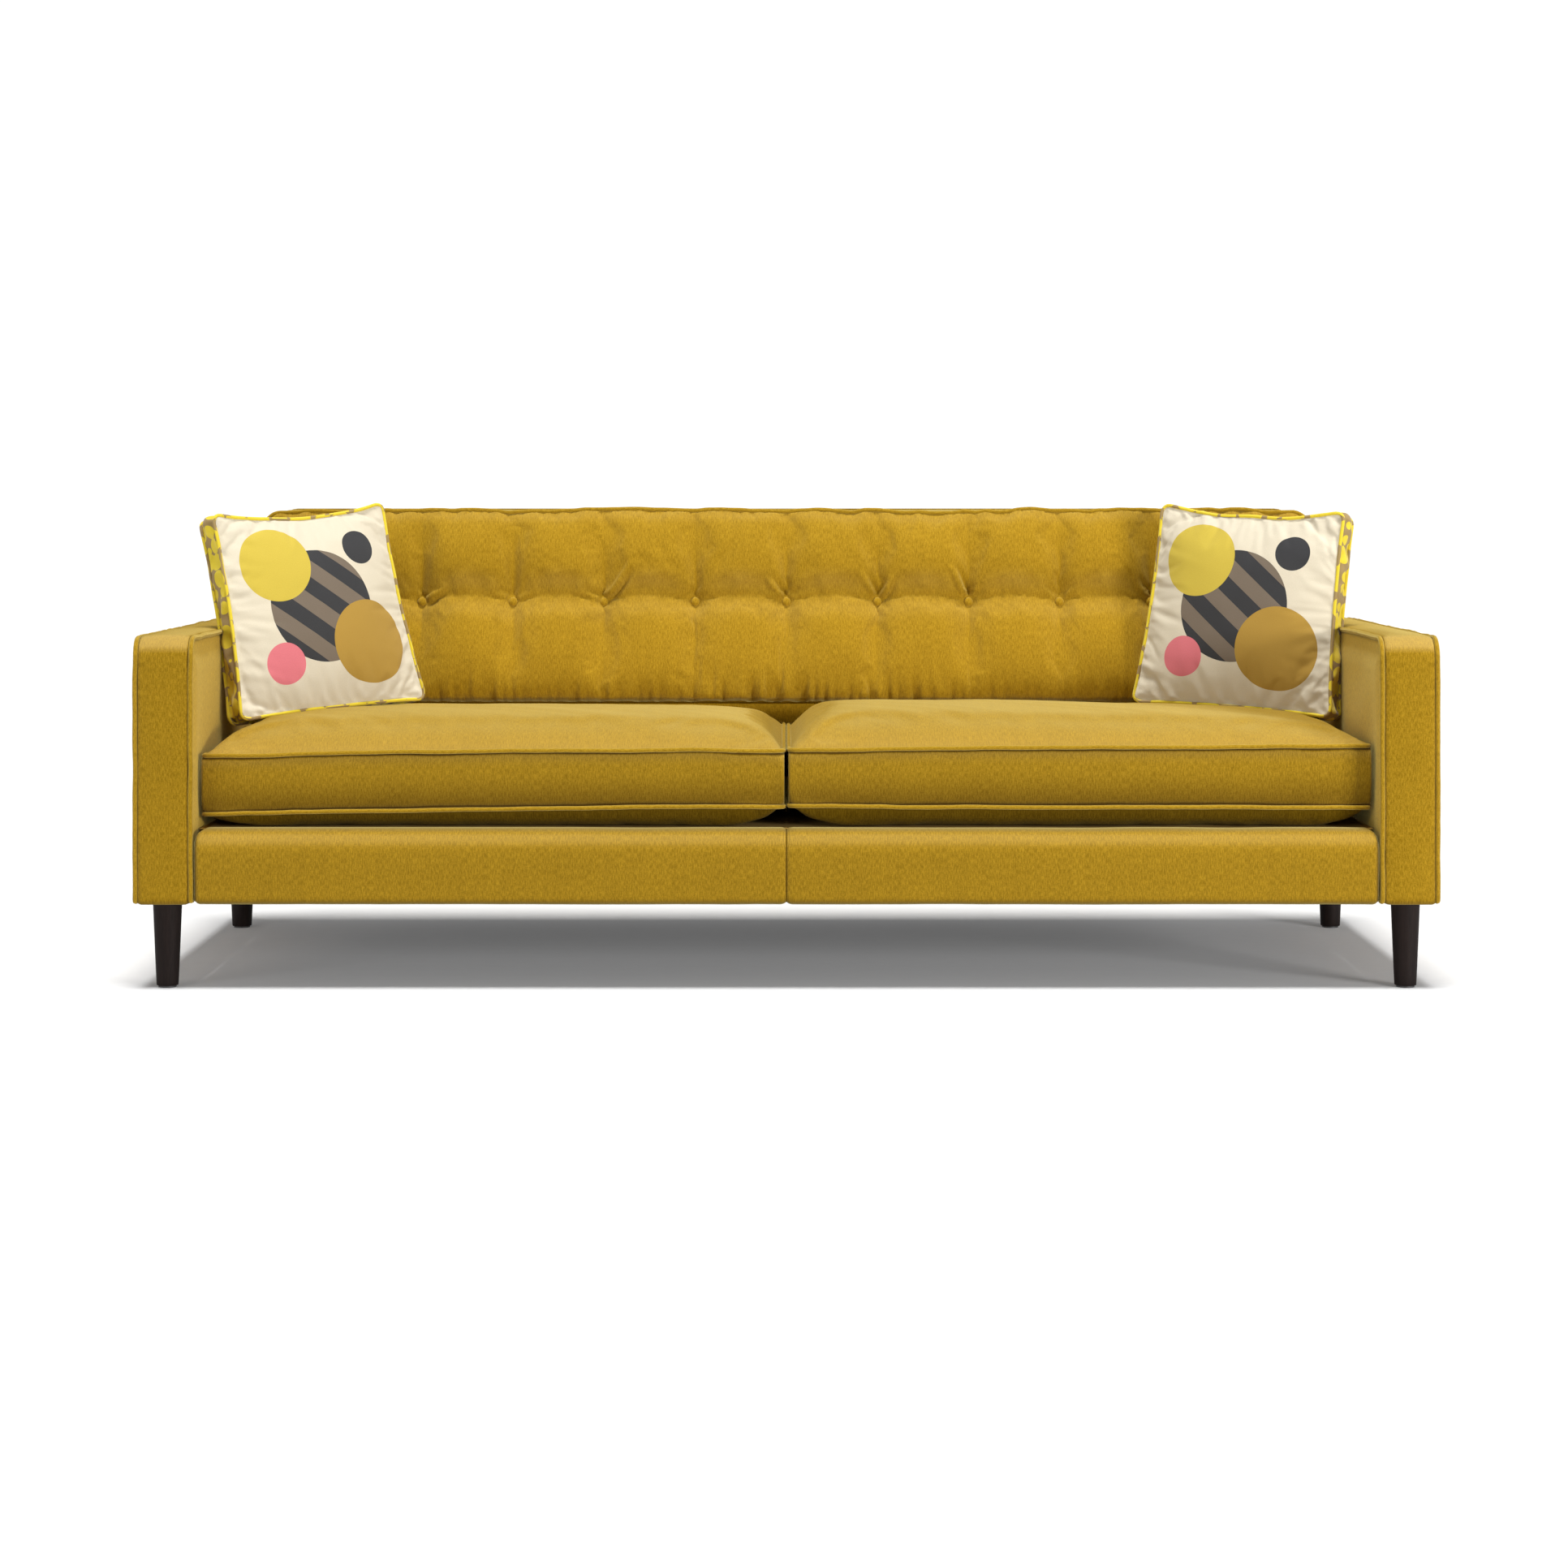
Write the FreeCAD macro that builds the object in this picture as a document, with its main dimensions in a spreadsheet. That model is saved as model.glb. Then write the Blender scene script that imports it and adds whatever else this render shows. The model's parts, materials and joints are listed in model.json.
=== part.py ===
# A three-seat sofa with track arms, two loose seat cushions, a buttoned back and wooden legs.
# Millimetres. Origin on the floor under the middle of the sofa, +X to the sofa's right as seen
# from the front, the front faces -Y, +Z up.
import FreeCAD, Part
import math
import os
import re
import Sketcher

Vector = FreeCAD.Vector
doc = FreeCAD.newDocument("sofa")
sheet = doc.addObject("Spreadsheet::Sheet", "sizes")

# name, value, what it is; all in millimetres, angles in degrees
SIZES = (
    ("half_width", 1150, "middle to the outermost piping of an arm"),
    ("half_depth", 465, "middle to the foremost piping"),
    ("base_height", 150, "floor to the underside of the upholstery"),
    ("cord_radius", 4, "piping, half its thickness"),
    ("fit", 0.5, "slack between layers"),
    ("cloth", 2, "upholstery cloth with its lining"),
    ("arm_top", 622, "floor to the top of an arm's piping"),
    ("arm_inner", 1044, "middle to the inner piping of an arm"),
    ("arm_round", 28, "radius of an arm's front and rear top edge"),
    ("band_thick", 6.4, "arm band with its layer of fibre"),
    ("arm_wall", 14, "foam between an arm's cover and its frame"),
    ("timber", 25, "thickness of a rail"),
    ("arm_timber", 40, "height of an arm's bottom and top rails"),
    ("plywood", 4, "arm boards"),
    ("leg_length", 150, "floor to the leg's top"),
    ("leg_top_radius", 25.5, "at the top"),
    ("leg_foot_radius", 19.3, "at the foot"),
    ("leg_across", 1095, "middle to a leg's axis"),
    ("leg_front", 425, "middle to a front leg's axis"),
    ("leg_rear", 350, "middle to a rear leg's axis"),
    ("glide_thick", 3, "foot glide"),
    ("glide_radius", 16, "foot glide"),
    ("plate_side", 46, "steel plate over each leg"),
    ("plate_thick", 2.5, "steel plate over each leg"),
    ("plate_gap", 15, "plate's middle to a screw, each way"),
    ("bolt_radius", 4, "hanger bolt of a leg"),
    ("bolt_length", 60, "hanger bolt of a leg"),
    ("screw_radius", 2, "plate screw"),
    ("screw_head_radius", 4, "plate screw"),
    ("screw_length", 22, "plate screw"),
    ("base_floor", 153, "floor to the underside of the base rails"),
    ("rail_top", 240, "floor to the top of the base rails"),
    ("deck_top", 278, "floor to the deck cloth"),
    ("border_front", 460, "middle to the face of the front rail cover"),
    ("border_thick", 24, "front rail cover with its padding"),
    ("border_round", 30, "radius of the front rail cover's top edge"),
    ("border_end", 1041, "middle to the outer end of the front rail cover"),
    ("seat_rear", 175, "middle to the fabric strip behind the cushions"),
    ("spring_pitch", 130, "from spring to spring"),
    ("spring_wire", 1.9, "radius of the spring wire"),
    ("spring_half", 24, "half the width of a spring's straight part"),
    ("spring_bend", 14, "radius of a spring's bends"),
    ("cushion_outer", 1040, "middle to the outer side of a seat cushion"),
    ("cushion_inner", 3.5, "middle to the inner side of a seat cushion"),
    ("cushion_front", 410, "middle to the front of a seat cushion"),
    ("cushion_rear", 163, "middle to the rear of a seat cushion"),
    ("cushion_low", 312.5, "floor to the lower piping of a seat cushion"),
    ("cushion_high", 408, "floor to the upper piping of a seat cushion"),
    ("cushion_crest", 471, "floor to the crest of a seat cushion"),
    ("cushion_belly", 278.5, "floor to the underside of a seat cushion"),
    ("zip_length", 700, "zip in the rear boxing"),
    ("zip_height", 20, "zip in the rear boxing"),
    ("back_low", 467, "floor to the piping under the back pad"),
    ("back_high", 838, "floor to the piping over the back pad"),
    ("back_low_face", 155, "middle to the piping under the back pad"),
    ("back_high_face", 241, "middle to the piping over the back pad"),
    ("back_bulge", 22, "how far the back pad stands out of its piping"),
    ("back_rear", 371, "middle to the rear of the back pad"),
    ("back_round", 45, "radius of the back's top corners"),
    ("frame_front", 375, "middle to the front of the back frame"),
    ("frame_rear", 455, "middle to the rear of the back frame"),
    ("button_height", 660, "floor to the row of buttons"),
    ("button_pitch", 179, "from button to button"),
    ("button_radius", 9.5, "covered button"),
    ("button_thick", 8, "covered button"),
    ("scatter_side", 376, "side of a scatter cushion's face"),
    ("scatter_gusset", 36, "from piping to piping across a scatter cushion's edge"),
    ("scatter_crown", 34, "how far a scatter cushion's face stands out"),
)
for row, (alias, amount, meaning) in enumerate(SIZES, start=1):
    sheet.set(f"A{row}", alias)
    sheet.set(f"B{row}", str(amount))
    sheet.set(f"C{row}", meaning)
    sheet.setAlias(f"B{row}", alias)
doc.recompute()

CELLS = {alias for alias, amount, meaning in SIZES}
SIDES = (("left", -1), ("right", 1))
nodes = []


# ---- helpers -------------------------------------------------------------------------------

def formula(text):
    """Write a formula's plain names as cells of the sheet."""
    def cell(word):
        return "sizes." + word.group() if word.group() in CELLS else word.group()
    return re.sub(r"[a-z][a-z0-9_]*", cell, str(text))


def number(text):
    return float(sheet.evalExpression(formula(text)))


def bind(thing, prop, text):
    thing.setExpression(prop, formula(text))


def keep(thing, label):
    """Mark a finished sub-part; its label names its file."""
    thing.Label = label
    nodes.append(thing)
    return thing


def put(thing, corner):
    for axis, text in zip("xyz", corner):
        bind(thing, "Placement.Base." + axis, text)


def board(name, corner, size):
    """A rectangular piece from its lowest corner and its three sizes."""
    piece = doc.addObject("Part::Box", name)
    for prop, text in zip(("Length", "Width", "Height"), size):
        bind(piece, prop, text)
    put(piece, corner)
    return piece


def side_board(name, side, low, corner_yz, size):
    """A board whose inner edge is `low` from the middle, on either side of the sofa."""
    across = low if side > 0 else f"-({low}) - ({size[0]})"
    return board(name, (across,) + tuple(corner_yz), size)


def rod(name, radius, length, base, axis=Vector(0, 0, 1)):
    piece = doc.addObject("Part::Cylinder", name)
    piece.Placement.Rotation = FreeCAD.Rotation(Vector(0, 0, 1), axis)
    bind(piece, "Radius", radius)
    bind(piece, "Height", length)
    put(piece, base)
    return piece


def group(name, members):
    """Several separate solids of one kind as one sub-part."""
    piece = doc.addObject("Part::Compound", name)
    piece.Links = members
    return piece


def origin_plane(body, role):
    return [item for item in body.Origin.OriginFeatures if item.Role == role][0]


def sketch_on(body, name, role, offset="0"):
    sketch = body.newObject("Sketcher::SketchObject", name)
    sketch.AttachmentSupport = [(origin_plane(body, role), "")]
    sketch.MapMode = "FlatFace"
    bind(sketch, "AttachmentOffset.Base.z", offset)
    return sketch


def dimension(sketch, kind, name, text, *places):
    """A named sketch dimension that follows the sheet."""
    index = sketch.addConstraint(Sketcher.Constraint(kind, *places, number(text)))
    sketch.renameConstraint(index, name)
    bind(sketch, "Constraints." + name, text)


def outline(body, name, role, points, offset="0"):
    """A closed outline of straight lines through points given as pairs of formulas."""
    sketch = sketch_on(body, name, role, offset)
    corners = [Vector(number(across), number(up), 0) for across, up in points]
    count = len(points)
    for index in range(count):
        sketch.addGeometry(Part.LineSegment(corners[index], corners[(index + 1) % count]), False)
    for index in range(count):
        sketch.addConstraint(Sketcher.Constraint("Coincident", index, 2, (index + 1) % count, 1))
    for index, (across, up) in enumerate(points):
        dimension(sketch, "DistanceX", f"across_{index}", across, -1, 1, index, 1)
        dimension(sketch, "DistanceY", f"up_{index}", up, -1, 1, index, 1)
    return sketch


def hoop(body, name, half_run, foot, top, radius):
    """A path in the YZ plane: up, over and down, with round corners."""
    sketch = sketch_on(body, name, "YZ_Plane")
    run, low, high, bend = (number(text) for text in (half_run, foot, top, radius))
    sketch.addGeometry(Part.LineSegment(Vector(-run, low, 0), Vector(-run, high - bend, 0)), False)
    sketch.addGeometry(Part.ArcOfCircle(
        Part.Circle(Vector(bend - run, high - bend, 0), Vector(0, 0, 1), bend),
        math.pi / 2, math.pi), False)
    sketch.addGeometry(Part.LineSegment(Vector(bend - run, high, 0), Vector(run - bend, high, 0)), False)
    sketch.addGeometry(Part.ArcOfCircle(
        Part.Circle(Vector(run - bend, high - bend, 0), Vector(0, 0, 1), bend), 0, math.pi / 2), False)
    sketch.addGeometry(Part.LineSegment(Vector(run, high - bend, 0), Vector(run, low, 0)), False)
    for line, line_end, arc, arc_end in ((0, 2, 1, 2), (2, 1, 1, 1), (2, 2, 3, 2), (4, 1, 3, 1)):
        sketch.addConstraint(Sketcher.Constraint("Tangent", line, line_end, arc, arc_end))
    for line, way in ((0, "Vertical"), (2, "Horizontal"), (4, "Vertical")):
        sketch.addConstraint(Sketcher.Constraint(way, line))
    for arc in (1, 3):
        dimension(sketch, "Radius", f"bend_{arc}", radius, arc)
    dimension(sketch, "DistanceX", "front", f"-({half_run})", -1, 1, 0, 1)
    dimension(sketch, "DistanceY", "front_foot", foot, -1, 1, 0, 1)
    dimension(sketch, "DistanceY", "top", top, -1, 1, 2, 1)
    dimension(sketch, "DistanceX", "rear", half_run, -1, 1, 4, 2)
    dimension(sketch, "DistanceY", "rear_foot", foot, -1, 1, 4, 2)
    return sketch


def circle(body, name, role, centre, radius, offset="0"):
    sketch = sketch_on(body, name, role, offset)
    middle = Vector(number(centre[0]), number(centre[1]), 0)
    sketch.addGeometry(Part.Circle(middle, Vector(0, 0, 1), number(radius)), False)
    dimension(sketch, "Radius", "round", radius, 0)
    dimension(sketch, "DistanceX", "across", centre[0], -1, 1, 0, 3)
    dimension(sketch, "DistanceY", "up", centre[1], -1, 1, 0, 3)
    return sketch


def rectangle(half_across, half_up):
    """Corners of a rectangle round the origin."""
    return [(f"{a} * ({half_across})", f"{b} * ({half_up})") for a, b in ((-1, -1), (1, -1), (1, 1), (-1, 1))]


def slab(name, role, points, thickness):
    """A body padded both ways from one of its origin planes."""
    body = doc.addObject("PartDesign::Body", name)
    profile = outline(body, name + "_outline", role, points)
    pad = body.newObject("PartDesign::Pad", name + "_pad")
    pad.Profile = profile
    pad.SideType = "Symmetric"
    bind(pad, "Length", thickness)
    doc.recompute()
    return body


def round_edges(body, radius, wanted):
    """Fillet the edges that `wanted` picks by their two ends."""
    base = body.Tip
    names = []
    for index, edge in enumerate(base.Shape.Edges, start=1):
        if len(edge.Vertexes) == 2 and wanted(edge.Vertexes[0].Point, edge.Vertexes[1].Point):
            names.append(f"Edge{index}")
    fillet = body.newObject("PartDesign::Fillet", f"{body.Name}_round_{len(body.Group)}")
    fillet.Base = (base, names)
    bind(fillet, "Radius", radius)
    doc.recompute()


def along_x(one, two, height, tolerance=0.01):
    """True for an edge that runs across the sofa at the given height."""
    level = abs(one.z - height) < tolerance and abs(two.z - height) < tolerance
    return level and abs(one.y - two.y) < tolerance and abs(one.x - two.x) > 1


def crowned(name, role, half_across, half_up, thickness, crowns, inset="0"):
    """A cushion: a straight boxing, and a stepped crown on each of its two faces.

    crowns holds the rise over the positive face and the rise over the negative one.
    """
    slim = f"{thickness} - 2 * ({inset})"
    body = slab(name, role, rectangle(f"{half_across} - ({inset})", f"{half_up} - ({inset})"), slim)
    shoulder = f"2.2 * cord_radius + {inset}"
    for sign, rise in zip((1, -1), crowns):
        steps = ((shoulder, 0), (f"{shoulder} + 50", 0.5), (f"{shoulder} + 100", 0.8),
                 (f"{shoulder} + 170", 1))
        rings = []
        for number_of_step, (pull, share) in enumerate(steps):
            offset = f"{sign} * (({slim}) / 2 + {share} * ({rise}))"
            ring_name = f"{name}_ring_{'high' if sign > 0 else 'low'}_{number_of_step}"
            ring = rectangle(f"{half_across} - ({pull})", f"{half_up} - ({pull})")
            rings.append(outline(body, ring_name, role, ring, offset))
        loft = body.newObject("PartDesign::AdditiveLoft", f"{name}_crown_{'high' if sign > 0 else 'low'}")
        loft.Profile = rings[0]
        loft.Sections = rings[1:]
        loft.Ruled = True
        doc.recompute()
    return body


def cord_loop(name, role, half_across, half_up, offset="0"):
    """Piping round a rectangle, in a plane at `offset` from the origin plane."""
    body = doc.addObject("PartDesign::Body", name)
    path = outline(body, name + "_path", role, rectangle(half_across, half_up), offset)
    cut_role = "YZ_Plane" if role != "YZ_Plane" else "XZ_Plane"
    centre = (half_up, offset) if role == "XY_Plane" else (f"-({offset})", half_up)
    ring = circle(body, name + "_ring", cut_role, centre, "cord_radius")
    pipe = body.newObject("PartDesign::AdditivePipe", name + "_pipe")
    pipe.Profile = ring
    pipe.Spine = (path, [f"Edge{index}" for index in range(1, 5)])
    pipe.Transition = "Round corner"
    doc.recompute()
    return body


# ---- legs ----------------------------------------------------------------------------------

def leg(name, side, front_sign, along):
    """A round tapered leg with a softened foot."""
    body = doc.addObject("PartDesign::Body", name)
    soften = 2
    points = [("0", "glide_thick"), (f"leg_foot_radius - {soften}", "glide_thick"),
              ("leg_foot_radius", f"glide_thick + {soften}"), ("leg_top_radius", "leg_length - 4"),
              ("leg_top_radius - 1", "leg_length"), ("0", "leg_length")]
    profile = outline(body, name + "_profile", "XZ_Plane", points)
    turning = body.newObject("PartDesign::Revolution", name + "_turning")
    turning.Profile = profile
    turning.ReferenceAxis = (profile, ["V_Axis"])
    turning.Angle = 360
    put(body, (f"{side} * leg_across", f"{front_sign} * {along}", "0"))
    return keep(body, name)


LEG_PLACES = [(f"leg_{end}_{side_name}", side, front_sign, along)
              for end, front_sign, along in (("front", -1, "leg_front"), ("rear", 1, "leg_rear"))
              for side_name, side in SIDES]
glides, plates, bolts, screws = [], [], [], []
for leg_name, side, front_sign, along in LEG_PLACES:
    leg(leg_name, side, front_sign, along)
    across = f"{side} * leg_across"
    deep = f"{front_sign} * {along}"
    glides.append(rod(leg_name + "_glide", "glide_radius", "glide_thick", (across, deep, "0")))
    corner = (f"{across} - plate_side / 2", f"{deep} - plate_side / 2", "leg_length")
    steel = board(leg_name + "_steel", corner, ("plate_side", "plate_side", "plate_thick"))
    holes = [rod(leg_name + "_bolt_hole", "bolt_radius", "plate_thick", (across, deep, "leg_length"))]
    for step_x in (-1, 1):
        for step_y in (-1, 1):
            place = (f"{across} + {step_x} * plate_gap", f"{deep} + {step_y} * plate_gap")
            tag = f"{leg_name}_{len(holes)}"
            place += ("leg_length",)
            holes.append(rod(tag + "_hole", "screw_head_radius", "plate_thick", place))
            shank = rod(tag + "_shank", "screw_radius", "screw_length", place)
            head = rod(tag + "_head", "screw_head_radius", "plate_thick", place)
            screw = doc.addObject("Part::Fuse", tag + "_screw")
            screw.Base = shank
            screw.Tool = head
            screws.append(screw)
    drilled = doc.addObject("Part::Cut", leg_name + "_plate")
    drilled.Base = steel
    drilled.Tool = group(leg_name + "_holes", holes)
    plates.append(drilled)
    bolts.append(rod(leg_name + "_bolt", "bolt_radius", "bolt_length",
                     (across, deep, "leg_length - bolt_length / 2")))
keep(group("glides", glides), "leg_glides")
keep(group("plates", plates), "leg_plates")
keep(group("bolts", bolts), "leg_bolts")
keep(group("screws", screws), "plate_screws")


# ---- base ----------------------------------------------------------------------------------

RAIL = "rail_top - base_floor"
SIDE_RAIL_IN = "border_end - 1 - timber"
FRONT_RAIL_REAR = "(border_front - border_thick - fit - timber)"
SPRING_RAIL = "(seat_rear + 25)"
keep(board("front_rail", ("-(border_end - 1)", f"-({FRONT_RAIL_REAR} + timber)", "base_floor"),
           ("2 * (border_end - 1)", "timber", RAIL)), "front_rail")
keep(board("back_rail", (f"-({SIDE_RAIL_IN})", "frame_rear - 2 * timber", "base_floor"),
           (f"2 * ({SIDE_RAIL_IN})", "2 * timber", RAIL)), "back_rail")
side_rails = [side_board(f"side_rail_{side_name}", side, SIDE_RAIL_IN,
                         (f"-{FRONT_RAIL_REAR}", "base_floor"),
                         ("timber", f"{FRONT_RAIL_REAR} + frame_rear", RAIL))
              for side_name, side in SIDES]
keep(group("side_rail_pair", side_rails), "side_rails")

CROSS_RAIL_PLACES = (-360, 0, 360)
cross_rails = [board("spring_rail", (f"-({SIDE_RAIL_IN})", SPRING_RAIL, "base_floor"),
                     (f"2 * ({SIDE_RAIL_IN})", "timber", RAIL))]
for place in CROSS_RAIL_PLACES:
    cross_rails.append(board(f"cross_rail_front_{len(cross_rails)}",
                             (f"{place} - timber / 2", f"-{FRONT_RAIL_REAR}", "base_floor"),
                             ("timber", f"{FRONT_RAIL_REAR} + {SPRING_RAIL}", f"{RAIL} - timber")))
    cross_rails.append(board(f"cross_rail_rear_{len(cross_rails)}",
                             (f"{place} - timber / 2", f"{SPRING_RAIL} + timber", "base_floor"),
                             ("timber", f"frame_rear - 3 * timber - {SPRING_RAIL}", f"{RAIL} - timber")))
keep(group("cross_rail_set", cross_rails), "cross_rails")

BLOCK = 60
blocks = []
for side_name, side in SIDES:
    inner = f"{SIDE_RAIL_IN} - {BLOCK}"
    blocks.append(side_board(f"block_front_{side_name}", side, inner,
                             (f"-{FRONT_RAIL_REAR}", "base_floor"), (BLOCK, BLOCK, RAIL)))
    blocks.append(side_board(f"block_rear_{side_name}", side, inner,
                             (f"frame_rear - 2 * timber - {BLOCK}", "base_floor"), (BLOCK, BLOCK, RAIL)))
keep(group("block_set", blocks), "corner_blocks")

keep(board("dust_cover", ("-(border_end - 1)", f"-({FRONT_RAIL_REAR} + timber)", "base_floor - 1"),
           ("2 * (border_end - 1)", f"{FRONT_RAIL_REAR} + timber + frame_rear", "0.8")), "dust_cover")


def sinuous_spring(length):
    """A flat wire spring along Y: straight rungs joined by half-round bends."""
    half, wire = number("spring_half"), number("spring_wire")
    rungs = 1 + round(length / (2 * number("spring_bend")))
    bend = length / (2 * (rungs - 1))
    edges = []
    place = -length / 2
    sign = 1
    for rung in range(rungs):
        edges.append(Part.LineSegment(Vector(-sign * half, place, 0), Vector(sign * half, place, 0)).toShape())
        if rung < rungs - 1:
            edges.append(Part.Arc(Vector(sign * half, place, 0), Vector(sign * (half + bend), place + bend, 0),
                                  Vector(sign * half, place + 2 * bend, 0)).toShape())
        place += 2 * bend
        sign = -sign
    path = Part.Wire(edges)
    start = Vector(-half, -length / 2, 0)
    ring = Part.Wire([Part.Circle(start, Vector(1, 0, 0), wire).toShape()])
    return path.makePipeShell([ring], True, False)


SPRINGS_EACH_WAY = 7
spring_top = number("rail_top + spring_wire + 1.5")
spring_from = -number(f"{FRONT_RAIL_REAR} + timber / 3")
spring_to = number(f"{SPRING_RAIL} + timber / 2")
one_spring = sinuous_spring(spring_to - spring_from)
spring_copies, clips = [], []
for index in range(-SPRINGS_EACH_WAY, SPRINGS_EACH_WAY + 1):
    spring_copy = one_spring.copy()
    spring_copy.translate(Vector(index * number("spring_pitch"), (spring_from + spring_to) / 2, spring_top))
    spring_copies.append(spring_copy)
    for end, deep in (("front", f"-({FRONT_RAIL_REAR} + timber - 1)"), ("rear", f"{SPRING_RAIL} + 1")):
        tag = f"clip_{end}_{index + SPRINGS_EACH_WAY}"
        clips.append(board(tag, (f"{index} * spring_pitch - 15", deep, "rail_top"),
                           ("30", "timber - 2", "1.2")))
springs = doc.addObject("Part::Feature", "springs")
springs.Shape = Part.makeCompound(spring_copies)
springs.Placement = FreeCAD.Placement()
keep(springs, "seat_springs")
keep(group("clip_set", clips), "spring_clips")

DECK_LOW = "(rail_top + 8)"
keep(board("deck_pad", (f"-({SIDE_RAIL_IN})", f"-{FRONT_RAIL_REAR}", DECK_LOW),
           (f"2 * ({SIDE_RAIL_IN})", f"{FRONT_RAIL_REAR} + seat_rear - fit", f"deck_top - cloth - {DECK_LOW}")),
     "deck_pad")
keep(board("deck_cloth", ("-border_end", f"-{FRONT_RAIL_REAR}", "deck_top - cloth"),
           ("2 * border_end", f"{FRONT_RAIL_REAR} + seat_rear - fit", "cloth")), "deck_cloth")

# front rail cover: a padded face that turns over the rail, in two halves with a seam between
BORDER_REAR = f"-({FRONT_RAIL_REAR} + fit)"
BORDER_STEP = "-(border_front - border_thick)"
BORDER_PROFILE = [("-border_front", "base_height + 1.5"), (BORDER_STEP, "base_height + 1.5"),
                  (BORDER_STEP, "rail_top + 8"), (BORDER_REAR, "rail_top + 8"),
                  (BORDER_REAR, "deck_top"), ("-border_front", "deck_top")]
for side_name, side in SIDES:
    border = slab(f"front_border_{side_name}", "YZ_Plane", BORDER_PROFILE, "border_end - 1")
    round_edges(border, "border_round",
                lambda one, two: along_x(one, two, number("deck_top")) and one.y < -number("border_front") + 1)
    bind(border, "Placement.Base.x", f"{side} * (border_end + 1) / 2")
    keep(border, f"front_border_{side_name}")


# ---- arms ----------------------------------------------------------------------------------

ARM_OUT = "(half_width - cord_radius)"
ARM_IN = "(arm_inner + cord_radius)"
ARM_CORD_FRONT = "(half_depth - cord_radius)"
ARM_CORD_TOP = "(arm_top - cord_radius)"
BAND_FACE = "(half_depth - 2)"
BAND_TOP = "(arm_top - 2)"
PAD_FACE = "(half_depth - 2 - band_thick)"
PAD_TOP = "(arm_top - 2 - band_thick)"
ARM_MIDDLE = f"({ARM_OUT} + {ARM_IN}) / 2"


def turned_down(body, radius, height):
    """Round the front and rear top edges of an arm's layer."""
    round_edges(body, radius, lambda one, two: along_x(one, two, height))


def arm_layer(name, face, top, foot, low, high, radius):
    """A layer of an arm as seen from the side: square at the foot, round at the top corners."""
    points = [(f"-{face}", foot), (face, foot), (face, top), (f"-{face}", top)]
    body = slab(name, "YZ_Plane", points, f"{high} - {low}")
    turned_down(body, radius, number(top))
    return body


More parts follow.
